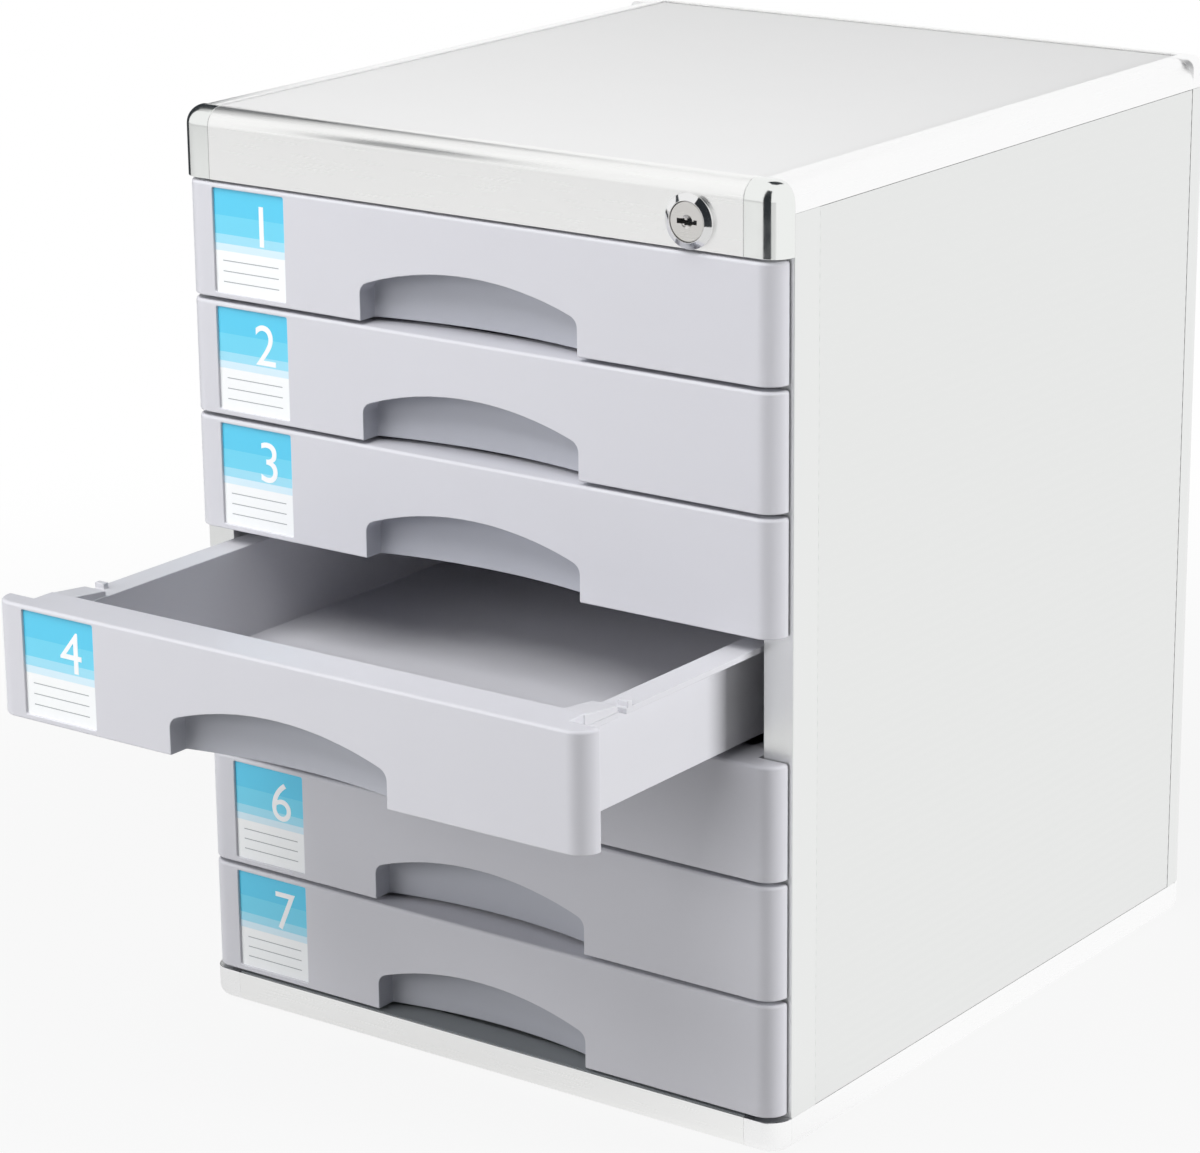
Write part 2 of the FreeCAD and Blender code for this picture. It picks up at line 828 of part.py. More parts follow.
def lock_bar():
    """Upright strip with one tab per drawer and a slotted arm that the crank pin moves."""
    slot_half = crank_pin_radius + arm_slot_play
    pin_z = lock_z + crank_throw
    arm_z = (pin_z - slot_half - arm_slot_wall, pin_z + slot_half + arm_slot_wall)
    strip_z = (front_bottom(drawer_count) + rim_top - bar_tail, arm_z[1])
    strip = box((bar_inner, bar_outer), (bar_y, bar_y + bar_width), strip_z)
    slot_x = (lock_x + crank_throw - slot_half, lock_x + crank_radius + slot_half)
    arm_y = (bar_y, bar_y + arm_thickness)
    arm = box((slot_x[0] - arm_slot_wall, bar_outer), arm_y, arm_z)
    slot = box(slot_x, (bar_y - overrun, bar_y + arm_thickness + overrun),
               (pin_z - slot_half, pin_z + slot_half))
    tabs = []
    for level in drawer_levels:
        tab_z = (tab_bottom(level), tab_bottom(level) + tab_thickness)
        tab_y = (bar_y + arm_thickness, front_plane + notch_start + notch_length)
        tabs.append(box((rim_half_width - tab_catch_overlap, bar_inner), tab_y, tab_z))
    return strip.fuse([arm.cut(slot)] + tabs).removeSplitter()


def bar_guides():
    """Slotted blocks on the side wall that keep the lock bar upright."""
    guides = []
    slot_x = (bar_inner - guide_play, bar_outer + guide_play)
    slot_y = (bar_y - guide_play, bar_y + bar_width + guide_play)
    block_x = (slot_x[0] - guide_wall, wall_inner)
    block_y = (slot_y[0] - guide_wall, slot_y[1] + guide_wall)
    for level in guided_drawers:
        z = front_bottom(level) + rim_top + guide_lift
        block = box(block_x, block_y, (z, z + guide_height))
        guides.append(block.cut(box(slot_x, slot_y, (z - overrun, z + guide_height + overrun))))
    return Part.makeCompound(guides)


def frame_screws():
    """Screw heads down both rear posts, holding the frame together from behind."""
    heads = []
    spacing = (nosing_bottom - stack_bottom - 2 * screw_end_distance) / (screw_rows - 1)
    x = post_inner + screw_flats * half_share + post_wall
    for row in range(screw_rows):
        z = stack_bottom + screw_end_distance + row * spacing
        span = (back_plane, back_plane + screw_head_height)
        head = hexagon_along_y(screw_flats, span, x, z)
        heads += [head, on_left(head)]
    return Part.makeCompound(heads)


def build():
    """Every piece of the cabinet by name, with one drawer standing open."""
    pieces = {
        "top_panel": top_panel(),
        "top_rail_front": top_front_rail(),
        "top_rail_rear": top_rear_rail(),
        "back_panel": back_panel(),
        "base_rail_front": base_front_rail(),
        "base_rail_rear": base_rear_rail(),
        "base_panel": base_panel(),
        "foot_pads": foot_pads(),
        "lock_housing": lock_housing(),
        "lock_nut": lock_nut(),
        "lock_plug": lock_plug(),
        "lock_cam": lock_cam(),
        "lock_bar": lock_bar(),
        "lock_bar_guides": bar_guides(),
        "frame_screws": frame_screws(),
        "top_corners_front": both_sides([top_front_corner()]),
        "top_corners_rear": both_sides([top_rear_corner()]),
        "base_corners": both_sides([base_front_corner(), base_rear_corner()]),
    }
    handed = {
        "top_rail": top_side_rail(),
        "post_front": front_post(),
        "post_rear": rear_post(),
        "side_panel": side_panel(),
        "base_rail": base_side_rail(),
        "runner_wall": runner_wall(),
        "runner_ledges": runner_ledges(),
        "hold_downs": hold_downs(),
    }
    for name, shape in handed.items():
        pieces[name + "_right"] = shape
        pieces[name + "_left"] = on_left(shape)
    drawer = {"front": drawer_front(), "tray": drawer_tray(), "label": drawer_label()}
    for level in drawer_levels:
        pulled = -open_distance if level == open_drawer else 0
        for name, shape in drawer.items():
            moved = shape.copy()
            moved.translate(vec(0, pulled, front_bottom(level)))
            pieces[f"drawer_{level}_{name}"] = moved
    return pieces


os.makedirs("parts", exist_ok=True)
for node, solid in build().items():
    solid.exportStep(f"parts/{node}.step")
    print(node, "valid" if solid.isValid() else "NOT VALID", len(solid.Solids), round(solid.Volume))
print("height", round(height, 2))
print("drawer travel", round(drawer_travel, 2), "bar travel", round(bar_travel, 3))
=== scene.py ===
# %% [markdown]
# # A desktop drawer cabinet, dressed for its picture
#
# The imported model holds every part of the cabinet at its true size. This lesson dresses it:
# the parts that show get finer meshes and finishes, and a small studio is built round them.
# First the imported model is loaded. Its parts stay where they are, and each new piece is
# placed against them.

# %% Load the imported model
from math import atan2, cos, pi, radians, sin, sqrt, tan

import bmesh
import bpy
from mathutils import Matrix, Vector


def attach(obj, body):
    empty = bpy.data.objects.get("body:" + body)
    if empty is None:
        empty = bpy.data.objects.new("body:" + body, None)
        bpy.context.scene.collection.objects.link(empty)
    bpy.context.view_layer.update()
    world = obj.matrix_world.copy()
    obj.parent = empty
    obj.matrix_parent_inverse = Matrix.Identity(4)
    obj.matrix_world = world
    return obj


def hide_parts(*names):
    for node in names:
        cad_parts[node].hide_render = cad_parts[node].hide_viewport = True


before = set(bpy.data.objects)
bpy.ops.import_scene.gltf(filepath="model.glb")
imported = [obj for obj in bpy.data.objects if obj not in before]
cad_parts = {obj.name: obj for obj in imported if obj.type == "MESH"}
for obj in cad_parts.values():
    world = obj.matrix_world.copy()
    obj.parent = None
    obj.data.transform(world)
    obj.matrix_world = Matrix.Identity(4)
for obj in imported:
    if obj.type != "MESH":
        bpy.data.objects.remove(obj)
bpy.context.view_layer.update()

# %% [markdown]
# ## Millimetres
#
# Blender works in metres here, but furniture is drawn in millimetres. One small helper turns
# a place in millimetres into Blender's units, so every number below reads like a drawing.
# Depth is counted from the plane of the drawer fronts towards the back.

# %% Places in millimetres
MM = 0.001
WIDTH = 300.0
DEPTH = 337.0
HEIGHT = 398.0
HALF_WIDTH = WIDTH / 2
FRONT = -DEPTH / 2
STACK_BOTTOM = 16.0
STACK_TOP = 368.6
NOSING_BOTTOM = 385.3


def spot(x, depth, z):
    """A place in the cabinet: across from its middle, inwards from its front, and up."""
    return Vector((x, FRONT + depth, z)) * MM


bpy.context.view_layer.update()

# %% [markdown]
# ## The camera
#
# A product photograph like this is taken from well away with a long lens, which keeps the
# cabinet's edges almost parallel. The camera stands to the right of the cabinet and looks
# slightly down. A long lens far away was chosen over a short one nearby, because perspective
# comes from the distance and not from the lens.

# %% Stand the camera
camera_data = bpy.data.cameras.new("camera")
camera_data.sensor_width = 36
camera_data.lens = 124.095
camera = bpy.data.objects.new("camera", camera_data)
camera.location = (0.99091, -1.42917, 0.70843)
camera.rotation_euler = (radians(73.0341), radians(0.5681), radians(36.1319))
bpy.context.scene.collection.objects.link(camera)
bpy.context.scene.camera = camera
print("camera distance", round(camera.location.length, 2), "m")

# %% [markdown]
# ## Meshes from outlines
#
# Nearly every part of the cabinet is an extrusion or a moulding: an outline swept along a
# line. Outlines are lists of corners, each with its own radius, and a helper turns those
# corners into short arcs. Another joins a row of outlines into a closed skin. This is quicker
# to read than a mesh pushed about by hand, and every measure stays visible.

# %% Outlines with rounded corners
def rounded(corners, steps=8):
    """A closed outline whose corners (a, b, radius) are turned into short arcs."""
    line = []
    for index, (a, b, radius) in enumerate(corners):
        corner = Vector((a, b))
        if radius == 0:
            line.append((a, b))
            continue
        before = (Vector(corners[index - 1][:2]) - corner).normalized()
        after = (Vector(corners[(index + 1) % len(corners)][:2]) - corner).normalized()
        half_angle = before.angle(after) / 2
        centre = corner + (before + after).normalized() * radius / sin(half_angle)
        start = corner + before * radius / tan(half_angle) - centre
        end = corner + after * radius / tan(half_angle) - centre
        for step in range(steps + 1):
            line.append(tuple(centre + start.slerp(end, step / steps) * radius))
    return line


def block_outline(a, b, radius=0):
    """A rectangle between two pairs of limits."""
    low_a, high_a = a
    low_b, high_b = b
    return rounded([(low_a, low_b, radius), (high_a, low_b, radius),
                    (high_a, high_b, radius), (low_a, high_b, radius)])


print("points in a rounded rectangle:", len(block_outline((0, 10), (0, 10), 2)))


# %% Skins from rows of outlines
def skin(name, rings):
    """A closed mesh through a row of rings that all have the same number of points."""
    mesh = bpy.data.meshes.new(name)
    form = bmesh.new()
    loops = [[form.verts.new(place) for place in ring] for ring in rings]
    form.faces.new(loops[0])
    form.faces.new(loops[-1])
    for loop, following in zip(loops, loops[1:]):
        for i in range(len(loop)):
            form.faces.new((loop[i - 1], loop[i], following[i], following[i - 1]))
    bmesh.ops.recalc_face_normals(form, faces=form.faces)
    form.to_mesh(mesh)
    form.free()
    piece = bpy.data.objects.new(name, mesh)
    bpy.context.scene.collection.objects.link(piece)
    return piece


def sideways(depth, z, x):
    return spot(x, depth, z)


def upwards(x, depth, z):
    return spot(x, depth, z)


def inwards(x, z, depth):
    return spot(x, depth, z)


def sweep(name, outline, direction, ends):
    """An outline swept in a straight line: sideways, upwards or inwards."""
    return skin(name, [[direction(a, b, end) for a, b in outline] for end in ends])


trial = sweep("trial", block_outline((0, 10), (0, 10), 2), upwards, (0, 5))
print("faces of a swept rectangle:", len(trial.data.polygons))
bpy.data.objects.remove(trial)


# %% Carving, joining and softening
def settle(piece):
    """Turn a piece's modifiers into plain mesh."""
    depsgraph = bpy.context.evaluated_depsgraph_get()
    mesh = bpy.data.meshes.new_from_object(piece.evaluated_get(depsgraph))
    piece.modifiers.clear()
    piece.data = mesh
    return piece


def combine(piece, others, operation):
    """Cut other forms out of a piece, join them to it, or keep only what they share."""
    for other in others:
        step = piece.modifiers.new(operation, "BOOLEAN")
        step.operation = operation
        step.solver = "EXACT"
        step.object = other
    settle(piece)
    for other in others:
        bpy.data.objects.remove(other)
    form = bmesh.new()
    form.from_mesh(piece.data)
    bmesh.ops.remove_doubles(form, verts=form.verts, dist=0.002 * MM)
    bmesh.ops.dissolve_limit(form, angle_limit=radians(0.5), verts=form.verts, edges=form.edges)
    form.to_mesh(piece.data)
    form.free()
    return piece


def soften(piece, width, segments=3, angle=35):
    """Round a piece's sharp edges a little, so that they catch the light."""
    bevel = piece.modifiers.new("soft edges", "BEVEL")
    bevel.width = width * MM
    bevel.segments = segments
    bevel.limit_method = "ANGLE"
    bevel.angle_limit = radians(angle)
    bevel.use_clamp_overlap = False
    shading = piece.modifiers.new("flat faces stay flat", "WEIGHTED_NORMAL")
    shading.mode = "FACE_AREA"
    shading.weight = 100
    piece.data.shade_smooth()
    return piece


def round_rim(piece, chosen, width, segments=4):
    """Round the edges whose middle a test picks out, before anything is cut into them."""
    form = bmesh.new()
    form.from_mesh(piece.data)
    edges = [edge for edge in form.edges if chosen((edge.verts[0].co + edge.verts[1].co) / 2 / MM)]
    bmesh.ops.bevel(form, geom=edges, offset=width * MM, segments=segments, profile=0.5,
                    affect="EDGES")
    form.to_mesh(piece.data)
    form.free()
    return piece


def place(piece, material, body, slot, *nodes):
    """Give a piece its finish, the group it moves with, and the parts it stands for."""
    piece.data.materials.clear()
    piece.data.materials.append(material)
    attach(piece, body)
    if nodes:
        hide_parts(*nodes)
    return piece


print("helpers are ready")

# %% [markdown]
# ## Finishes
#
# Each finish is a small node tree. Fine grain comes from noise that is fixed to the piece,
# fed into a bump, and slow noise changes the gloss a little from place to place, as it does
# on a real moulding or sheet. Values that are the same all over are typed into the shader.

# %% A node tree to start from
def new_finish(name, colour, roughness, metallic=0.0):
    """A material with a principled shader, and noise coordinates in the piece's own space."""
    material = bpy.data.materials.new(name)
    material.use_nodes = True
    tree = material.node_tree
    shader = tree.nodes["Principled BSDF"]
    shader.inputs["Base Color"].default_value = (*colour, 1)
    shader.inputs["Roughness"].default_value = roughness
    shader.inputs["Metallic"].default_value = metallic
    return material, tree, shader


def linear(*parts):
    """Turn a colour given in screen values, 0 to 255, into the linear values that light uses."""
    values = [part / 255 for part in parts]
    return tuple(v / 12.92 if v <= 0.04045 else ((v + 0.055) / 1.055) ** 2.4 for v in values)


def add_noise(tree, scale, detail=2.0, stretch=(1, 1, 1)):
    """Noise fixed to the piece. A small stretch along an axis draws the grain out along it."""
    coordinates = tree.nodes.new("ShaderNodeTexCoord")
    mapping = tree.nodes.new("ShaderNodeMapping")
    mapping.inputs["Scale"].default_value = stretch
    noise = tree.nodes.new("ShaderNodeTexNoise")
    noise.inputs["Scale"].default_value = scale
    noise.inputs["Detail"].default_value = detail
    tree.links.new(coordinates.outputs["Object"], mapping.inputs["Vector"])
    tree.links.new(mapping.outputs["Vector"], noise.inputs["Vector"])
    return noise.outputs["Fac"]


def map_to(tree, value, low, high):
    """Spread a 0 to 1 value between two others."""
    spread = tree.nodes.new("ShaderNodeMapRange")
    spread.inputs["From Min"].default_value = 0.3
    spread.inputs["From Max"].default_value = 0.7
    spread.inputs["To Min"].default_value = low
    spread.inputs["To Max"].default_value = high
    tree.links.new(value, spread.inputs["Value"])
    return spread.outputs["Result"]


def add_bump(tree, shader, height, strength, distance):
    """Let a height disturb the surface's shading."""
    bump = tree.nodes.new("ShaderNodeBump")
    bump.inputs["Strength"].default_value = strength
    bump.inputs["Distance"].default_value = distance * MM
    tree.links.new(height, bump.inputs["Height"])
    tree.links.new(bump.outputs["Normal"], shader.inputs["Normal"])


print("mid grey is", [round(v, 3) for v in linear(128, 128, 128)])

# %% [markdown]
# ### Moulded plastic
#
# The drawers are moulded in a fine satin plastic: the mould's spark-worn wall leaves a grain
# of well under half a millimetre, and the colour is a touch uneven where the melt flowed.
# Two noises give both. A single flat colour would look like paint.

# %% Plastic for fronts, trays and small parts
def moulded(name, colour, roughness, grain=0.12):
    """Satin moulded plastic with a fine grain and slightly uneven gloss and colour."""
    material, tree, shader = new_finish(name, colour, roughness)
    shader.inputs["Specular IOR Level"].default_value = 0.42
    flow = add_noise(tree, 14, 3.0)
    tint = tree.nodes.new("ShaderNodeMix")
    tint.data_type = "RGBA"
    tint.inputs["A"].default_value = (*(0.975 * part for part in colour), 1)
    tint.inputs["B"].default_value = (*(1.02 * part for part in colour), 1)
    tree.links.new(flow, tint.inputs["Factor"])
    tree.links.new(tint.outputs["Result"], shader.inputs["Base Color"])
    gloss = map_to(tree, flow, roughness - 0.05, roughness + 0.05)
    tree.links.new(gloss, shader.inputs["Roughness"])
    add_bump(tree, shader, add_noise(tree, 2600, 1.0), grain, 0.06)
    return material


front_plastic = moulded("front plastic", linear(212, 212, 218), 0.42)
# A darker copy of the front plastic: painted shade for the finger recesses and the gaps between
# fronts.
painted_recess_shade = moulded("recess plastic", linear(183, 185, 193), 0.5)
tray_plastic = moulded("tray plastic", linear(212, 212, 217), 0.45)
# Dark plastic for the runners, guides and hold-downs; the same colour is painted shade inside the
# keyway.
dark_plastic_and_keyway_shade = moulded("dark plastic", linear(52, 55, 60), 0.5)
print("plastics:", front_plastic.name, painted_recess_shade.name, tray_plastic.name, dark_plastic_and_keyway_shade.name)

# %% [markdown]
# ### Aluminium, sheet and plate
#
# The rails are extruded aluminium, anodised to a satin silver. Drawing the metal through its
# die leaves faint lines along its length, so the noise is stretched along that direction.
# The corner caps are brighter, like chrome, and almost smooth.

# %% Metals
def drawn_metal(name, colour, roughness, along, lines=0.006):
    """Satin metal with faint lines drawn out along one axis."""
    material, tree, shader = new_finish(name, colour, roughness, 1.0)
    stretch = [1.0 if axis != along else 0.012 for axis in "xyz"]
    streaks = add_noise(tree, 2600, 1.0, stretch)
    gloss = map_to(tree, streaks, roughness - 0.03, roughness + 0.03)
    tree.links.new(gloss, shader.inputs["Roughness"])
    add_bump(tree, shader, streaks, lines, 0.02)
    return material


def bright_metal(name, colour, roughness):
    """Polished metal with a little uneven polish."""
    material, tree, shader = new_finish(name, colour, roughness, 1.0)
    polish = add_noise(tree, 120, 3.0)
    gloss = map_to(tree, polish, roughness * 0.7, roughness * 1.4)
    tree.links.new(gloss, shader.inputs["Roughness"])
    add_bump(tree, shader, add_noise(tree, 60, 1.0), 0.04, 0.05)
    return material


rail_across = drawn_metal("rail metal, across", linear(250, 250, 249), 0.3, "x")
rail_inwards = drawn_metal("rail metal, inwards", linear(251, 251, 251), 0.3, "y")
post_metal = drawn_metal("post metal", linear(234, 235, 234), 0.34, "z")
sheet_metal = drawn_metal("side sheet", linear(232, 233, 232), 0.34, "y")
cap_metal = bright_metal("cap metal", linear(237, 239, 237), 0.13)
chrome = bright_metal("lock chrome", linear(235, 235, 235), 0.07)
face_metal = drawn_metal("plug face metal", linear(222, 220, 217), 0.3, "x", 0.06)
zinc = bright_metal("zinc plate", linear(185, 187, 188), 0.35)
print("metals:", rail_across.name, sheet_metal.name, cap_metal.name)

# %% [markdown]
# ### Boards and rubber
#
# The top is a thin board with a very fine matte paint, the back and the base are plain board,
# and the feet are black rubber. All use the same recipe as the plastic, with less gloss.

# %% Boards and rubber
top_paint = moulded("top board paint", linear(245, 245, 245), 0.55, 0.08)
back_paint = moulded("back board paint", linear(205, 207, 208), 0.6, 0.1)
# The base board's grey also serves as painted shade on the base rail's ledge.
base_paint_and_ledge_shade = moulded("base board paint", linear(134, 138, 141), 0.55, 0.1)
rubber = moulded("foot rubber", linear(28, 28, 28), 0.8, 0.3)
print("boards:", top_paint.name, back_paint.name, base_paint_and_ledge_shade.name)

# %% [markdown]
# ## Drawer fronts
#
# A drawer front is a plastic moulding 296 mm wide and 49 mm high. Its ends are rounded in
# plan, a shallow arch is cut out of its lower edge for the fingers, and the recess behind the
# arch has a back wall that curves too. It is made as it would be drawn: one outline for the
# plan, swept upwards, less the form that an arch seen from the front and an arch seen from
# above have in common. A bevel then rounds every edge at once.

# %% An arch with round shoulders
def arch(half_width, side, crown, shoulder, foot, steps=40):
    """Outline of an arch: upright sides from its foot, round shoulders and a shallow top."""
    rise = crown - side
    radius = (half_width ** 2 + rise ** 2) / (2 * rise)
    centre = crown - radius
    shoulder_a = half_width - shoulder
    shoulder_b = centre + sqrt((radius - shoulder) ** 2 - shoulder_a ** 2)
    lean = atan2(shoulder_a, shoulder_b - centre)
    line = [(half_width, foot)]
    for step in range(7):
        turn = (pi / 2 - lean) * step / 6
        line.append((shoulder_a + shoulder * cos(turn), shoulder_b + shoulder * sin(turn)))
    for step in range(1, steps):
        turn = pi / 2 - lean + 2 * lean * step / steps
        line.append((radius * cos(turn), centre + radius * sin(turn)))
    for step in range(7):
        turn = pi / 2 + lean + (pi / 2 - lean) * step / 6
        line.append((shoulder * cos(turn) - shoulder_a, shoulder_b + shoulder * sin(turn)))
    line.append((-half_width, foot))
    return line


RECESS_HALF = 54.5
RECESS_TOP = 25.3
RECESS_DEPTH = 15.6
finger_arch = arch(RECESS_HALF, 15.4, RECESS_TOP, 5.0, -1.0)
print("points in the finger arch:", len(finger_arch))

# %% One front, drawn closed at height nought
FRONT_FOOT = 0.6
FRONT_HEIGHT = 49.0
LABEL_LEFT = -132.3
LABEL_WIDTH = 38.3
LABEL_BOTTOM = 2.9
LABEL_TOP = 47.0
POCKET_DEPTH = 1.6

front_plan = rounded([(-148, 9.5, 0), (-148, 0, 9.0), (148, 0, 9.0), (148, 9.5, 0),
                      (134, 9.5, 0), (134, 18, 0), (-134, 18, 0), (-134, 9.5, 0)], 10)
front_form = sweep("front form", front_plan, upwards, (FRONT_FOOT, FRONT_HEIGHT))
round_rim(front_form, lambda middle: middle.z > FRONT_HEIGHT - 0.1 and middle.y - FRONT < 9.4, 1.4)
round_rim(front_form, lambda middle: middle.z < FRONT_FOOT + 0.05 and middle.y - FRONT < 9.4, 0.6)
recess = sweep("recess", finger_arch, inwards, (-1, 17))
recess_plan = sweep("recess plan", arch(RECESS_HALF, 9.3, RECESS_DEPTH, 0.6, -2.0), upwards, (-3, 30))
combine(recess, [recess_plan], "INTERSECT")
pocket_outline = block_outline((LABEL_LEFT, LABEL_LEFT + LABEL_WIDTH),
                               (LABEL_BOTTOM, LABEL_TOP), 0.8)
pocket = sweep("pocket", pocket_outline, inwards, (-1, POCKET_DEPTH))
combine(front_form, [recess, pocket], "DIFFERENCE")
lip = sweep("lip", block_outline((-134, 134), (17, 20.2)), upwards, (44.4, FRONT_HEIGHT))
combine(front_form, [lip], "UNION")
print("faces of one drawer front:", len(front_form.data.polygons))

# %% [markdown]
# ### Seven fronts
#
# Every drawer has the same front, so its mesh is copied and moved up to each drawer's place.
# The fourth drawer stands 123.8 mm open, and its pieces are drawn there. The walls of the
# finger recess and the underside get a darker copy of the front plastic: painted shade, which
# darkens the recess and keeps the gap between two fronts dark.

# %% Copy the fronts to their drawers
DRAWERS = range(1, 8)
PITCH = 50.2
OPEN_DRAWER = 4
OPEN_DISTANCE = 123.8


def drawer_move(level):
    """How far a drawer's pieces move from where they were drawn."""
    pulled = -OPEN_DISTANCE if level == OPEN_DRAWER else 0.0
    return Matrix.Translation(Vector((0, pulled, STACK_TOP - PITCH * level)) * MM)


def copy_to_drawer(form, level, name, edge_width):
    """A copy of a form, moved to its drawer, with soft edges."""
    piece = bpy.data.objects.new(f"drawer_{level}_{name}", form.data.copy())
    piece.data.transform(drawer_move(level))
    bpy.context.scene.collection.objects.link(piece)
    return soften(piece, edge_width)


def finish_recess(piece, level):
    """Paint shade on the walls of a front's finger recess and on its underside, with a darker
    plastic.
    """
    piece.data.materials.append(painted_recess_shade)
    back_to_start = drawer_move(level).inverted()
    for face in piece.data.polygons:
        x, depth, z = (back_to_start @ face.center) / MM - Vector((0, FRONT, 0))
        # Faces in the recess, and the front's underside, get the painted shade.
        in_recess = (0.2 < depth < RECESS_DEPTH + 0.4 and z < RECESS_TOP + 0.1
                     and abs(x) < RECESS_HALF + 0.1)
        if in_recess or face.normal.z < -0.9 and z < 0.8:
            face.material_index = 1


for level in DRAWERS:
    piece = copy_to_drawer(front_form, level, "moulded_front", 0.4)
    place(piece, front_plastic, f"drawer_{level}", "drawer_plastic", f"drawer_{level}_front")
    finish_recess(piece, level)
bpy.data.objects.remove(front_form)
print("fronts placed:", len(DRAWERS))

# %% [markdown]
# ## Trays
#
# Behind each front hangs an open tray. A flange round its top runs in the cabinet's ledges,
# with a ramp up to the front, a notch, a catch for the lock bar and a stop near the back. The
# box is carved out of a block in one cut, which gives even walls. What stands on the rim is
# joined afterwards, and the ramps in a join of their own: forms that touch exactly along a
# face can leave a stray sliver when they are all joined at once.

# %% One tray, drawn closed at height nought
TRAY_BACK = 326.0
RIM_TOP = 44.1
REAR_CORNER_CUT = 5.0


def tray_plan(side, front, back):
    """Plan of a tray, with its two rear corners cut off."""
    cut = REAR_CORNER_CUT
    return [(-side, front), (side, front), (side, back - cut), (side - cut, back),
            (cut - side, back), (-side, back - cut)]


tray_form = sweep("tray form", tray_plan(124.5, 18, TRAY_BACK), upwards, (2, RIM_TOP))
flange = sweep("flange", block_outline((-134.5, 134.5), (18, TRAY_BACK)), upwards, (41.6, RIM_TOP))
combine(tray_form, [flange], "UNION")
hollow = sweep("hollow", tray_plan(122.3, 20.2, 323.8), upwards, (4, 50))


def rim_blocks(name, middle, half_width, depths, heights):
    """A block at the same place on both sides of the tray's rim."""
    return [sweep(name, block_outline((x - half_width, x + half_width), depths), upwards, heights)
            for x in (-middle, middle)]


notches = rim_blocks("notch", 131.5, 4, (40, 44.5), (40, 46))
combine(tray_form, [hollow] + notches, "DIFFERENCE")
catches = rim_blocks("catch", 132, 2.5, (45.5, 48.5), (43, 46.6))
stops = rim_blocks("stop", 127.75, 2.25, (295, 299), (43, 46.6))
ramp = [(18.4, 43), (39.4, 43), (39.4, 46.4), (18.4, 48.8)]
ramps = [sweep("ramp", ramp, sideways, sorted((side * 122.6, side * 134.3))) for side in (-1, 1)]
combine(tray_form, catches + stops, "UNION")
combine(tray_form, ramps, "UNION")
print("faces of one tray:", len(tray_form.data.polygons))

# %% Copy the trays to their drawers
for level in DRAWERS:
    piece = copy_to_drawer(tray_form, level, "moulded_tray", 0.4)
    place(piece, tray_plastic, f"drawer_{level}", "tray_plastic", f"drawer_{level}_tray")
bpy.data.objects.remove(tray_form)
print("trays placed:", len(DRAWERS))

# %% [markdown]
# ## Label cards
#
# Each front has a shallow pocket with a printed card under clear film: a blue panel that
# pales downwards, a drawer number, and rules to write on. The print is drawn with nodes from
# the card's own height, so it stays sharp at any size, and the film is the shader's clear
# coat. An image would need a file, and a print is only flat areas of colour anyway. The
# numbers and rules are thin meshes instead, because letters are hard to draw with nodes.

# %% The printed card
CARD_HEIGHT = LABEL_TOP - LABEL_BOTTOM
BANDS = ((0.0, linear(247, 249, 250)), (0.40, linear(214, 238, 249)), (0.47, linear(158, 224, 245)),
         (0.56, linear(108, 212, 241)), (0.74, linear(84, 203, 238)))


def printed_card():
    """Card printed in level bands of blue over white, under glossy film."""
    material, tree, shader = new_finish("printed card", (0.9, 0.9, 0.9), 0.35)
    shader.inputs["Coat Weight"].default_value = 0.6
    shader.inputs["Coat Roughness"].default_value = 0.08
    coordinates = tree.nodes.new("ShaderNodeTexCoord")
    parts = tree.nodes.new("ShaderNodeSeparateXYZ")
    tree.links.new(coordinates.outputs["Object"], parts.inputs["Vector"])
    height = tree.nodes.new("ShaderNodeMath")
    height.operation = "DIVIDE"
    height.inputs[1].default_value = CARD_HEIGHT * MM
    tree.links.new(parts.outputs["Z"], height.inputs[0])
    bands = tree.nodes.new("ShaderNodeValToRGB")
    bands.color_ramp.interpolation = "CONSTANT"
    for index, (start, colour) in enumerate(BANDS):
        if index < 2:
            stop = bands.color_ramp.elements[index]
        else:
            stop = bands.color_ramp.elements.new(start)
        stop.position = start
        stop.color = (*colour, 1)
    tree.links.new(height.outputs["Value"], bands.inputs["Fac"])
    tree.links.new(bands.outputs["Color"], shader.inputs["Base Color"])
    add_bump(tree, shader, add_noise(tree, 900, 2.0), 0.05, 0.02)
    return material


card_print = printed_card()
white_ink = moulded("white ink", linear(250, 251, 252), 0.3, 0.02)
grey_ink = moulded("grey ink", linear(150, 154, 160), 0.4, 0.02)
print("bands on the card:", len(BANDS))

# %% Cards, numbers and rules
CARD_THICKNESS = 0.5
RULE_HEIGHTS = (4.5, 9.0, 13.5)


def number_shape(text, size):
    """A number as a thin upright mesh: its front face is kept, and drawn back to give sides."""
    curve = bpy.data.curves.new("number", "FONT")
    curve.body = text
    curve.size = size * MM
    curve.extrude = 0.03 * MM
    curve.align_x = "CENTER"
    curve.offset = -0.05 * MM
    source = bpy.data.objects.new("number", curve)
    bpy.context.scene.collection.objects.link(source)
    depsgraph = bpy.context.evaluated_depsgraph_get()
    mesh = bpy.data.meshes.new_from_object(source.evaluated_get(depsgraph))
    bpy.data.objects.remove(source)
    form = bmesh.new()
    form.from_mesh(mesh)
    behind = [face for face in form.faces if face.calc_center_median().z < 0.02 * MM]
    bmesh.ops.delete(form, geom=behind, context="FACES")
    bmesh.ops.remove_doubles(form, verts=form.verts, dist=0.001 * MM)
    drawn = bmesh.ops.extrude_face_region(form, geom=form.faces[:])["geom"]
    corners = [part for part in drawn if isinstance(part, bmesh.types.BMVert)]
    bmesh.ops.translate(form, verts=corners, vec=Vector((0, 0, -0.06)) * MM)
    bmesh.ops.recalc_face_normals(form, faces=form.faces)
    form.to_mesh(mesh)
    form.free()
    mesh.transform(Matrix.Rotation(pi / 2, 4, "X"))
    return mesh


def flat_on_card(x, z, depth):
    return Vector((x, depth, z)) * MM


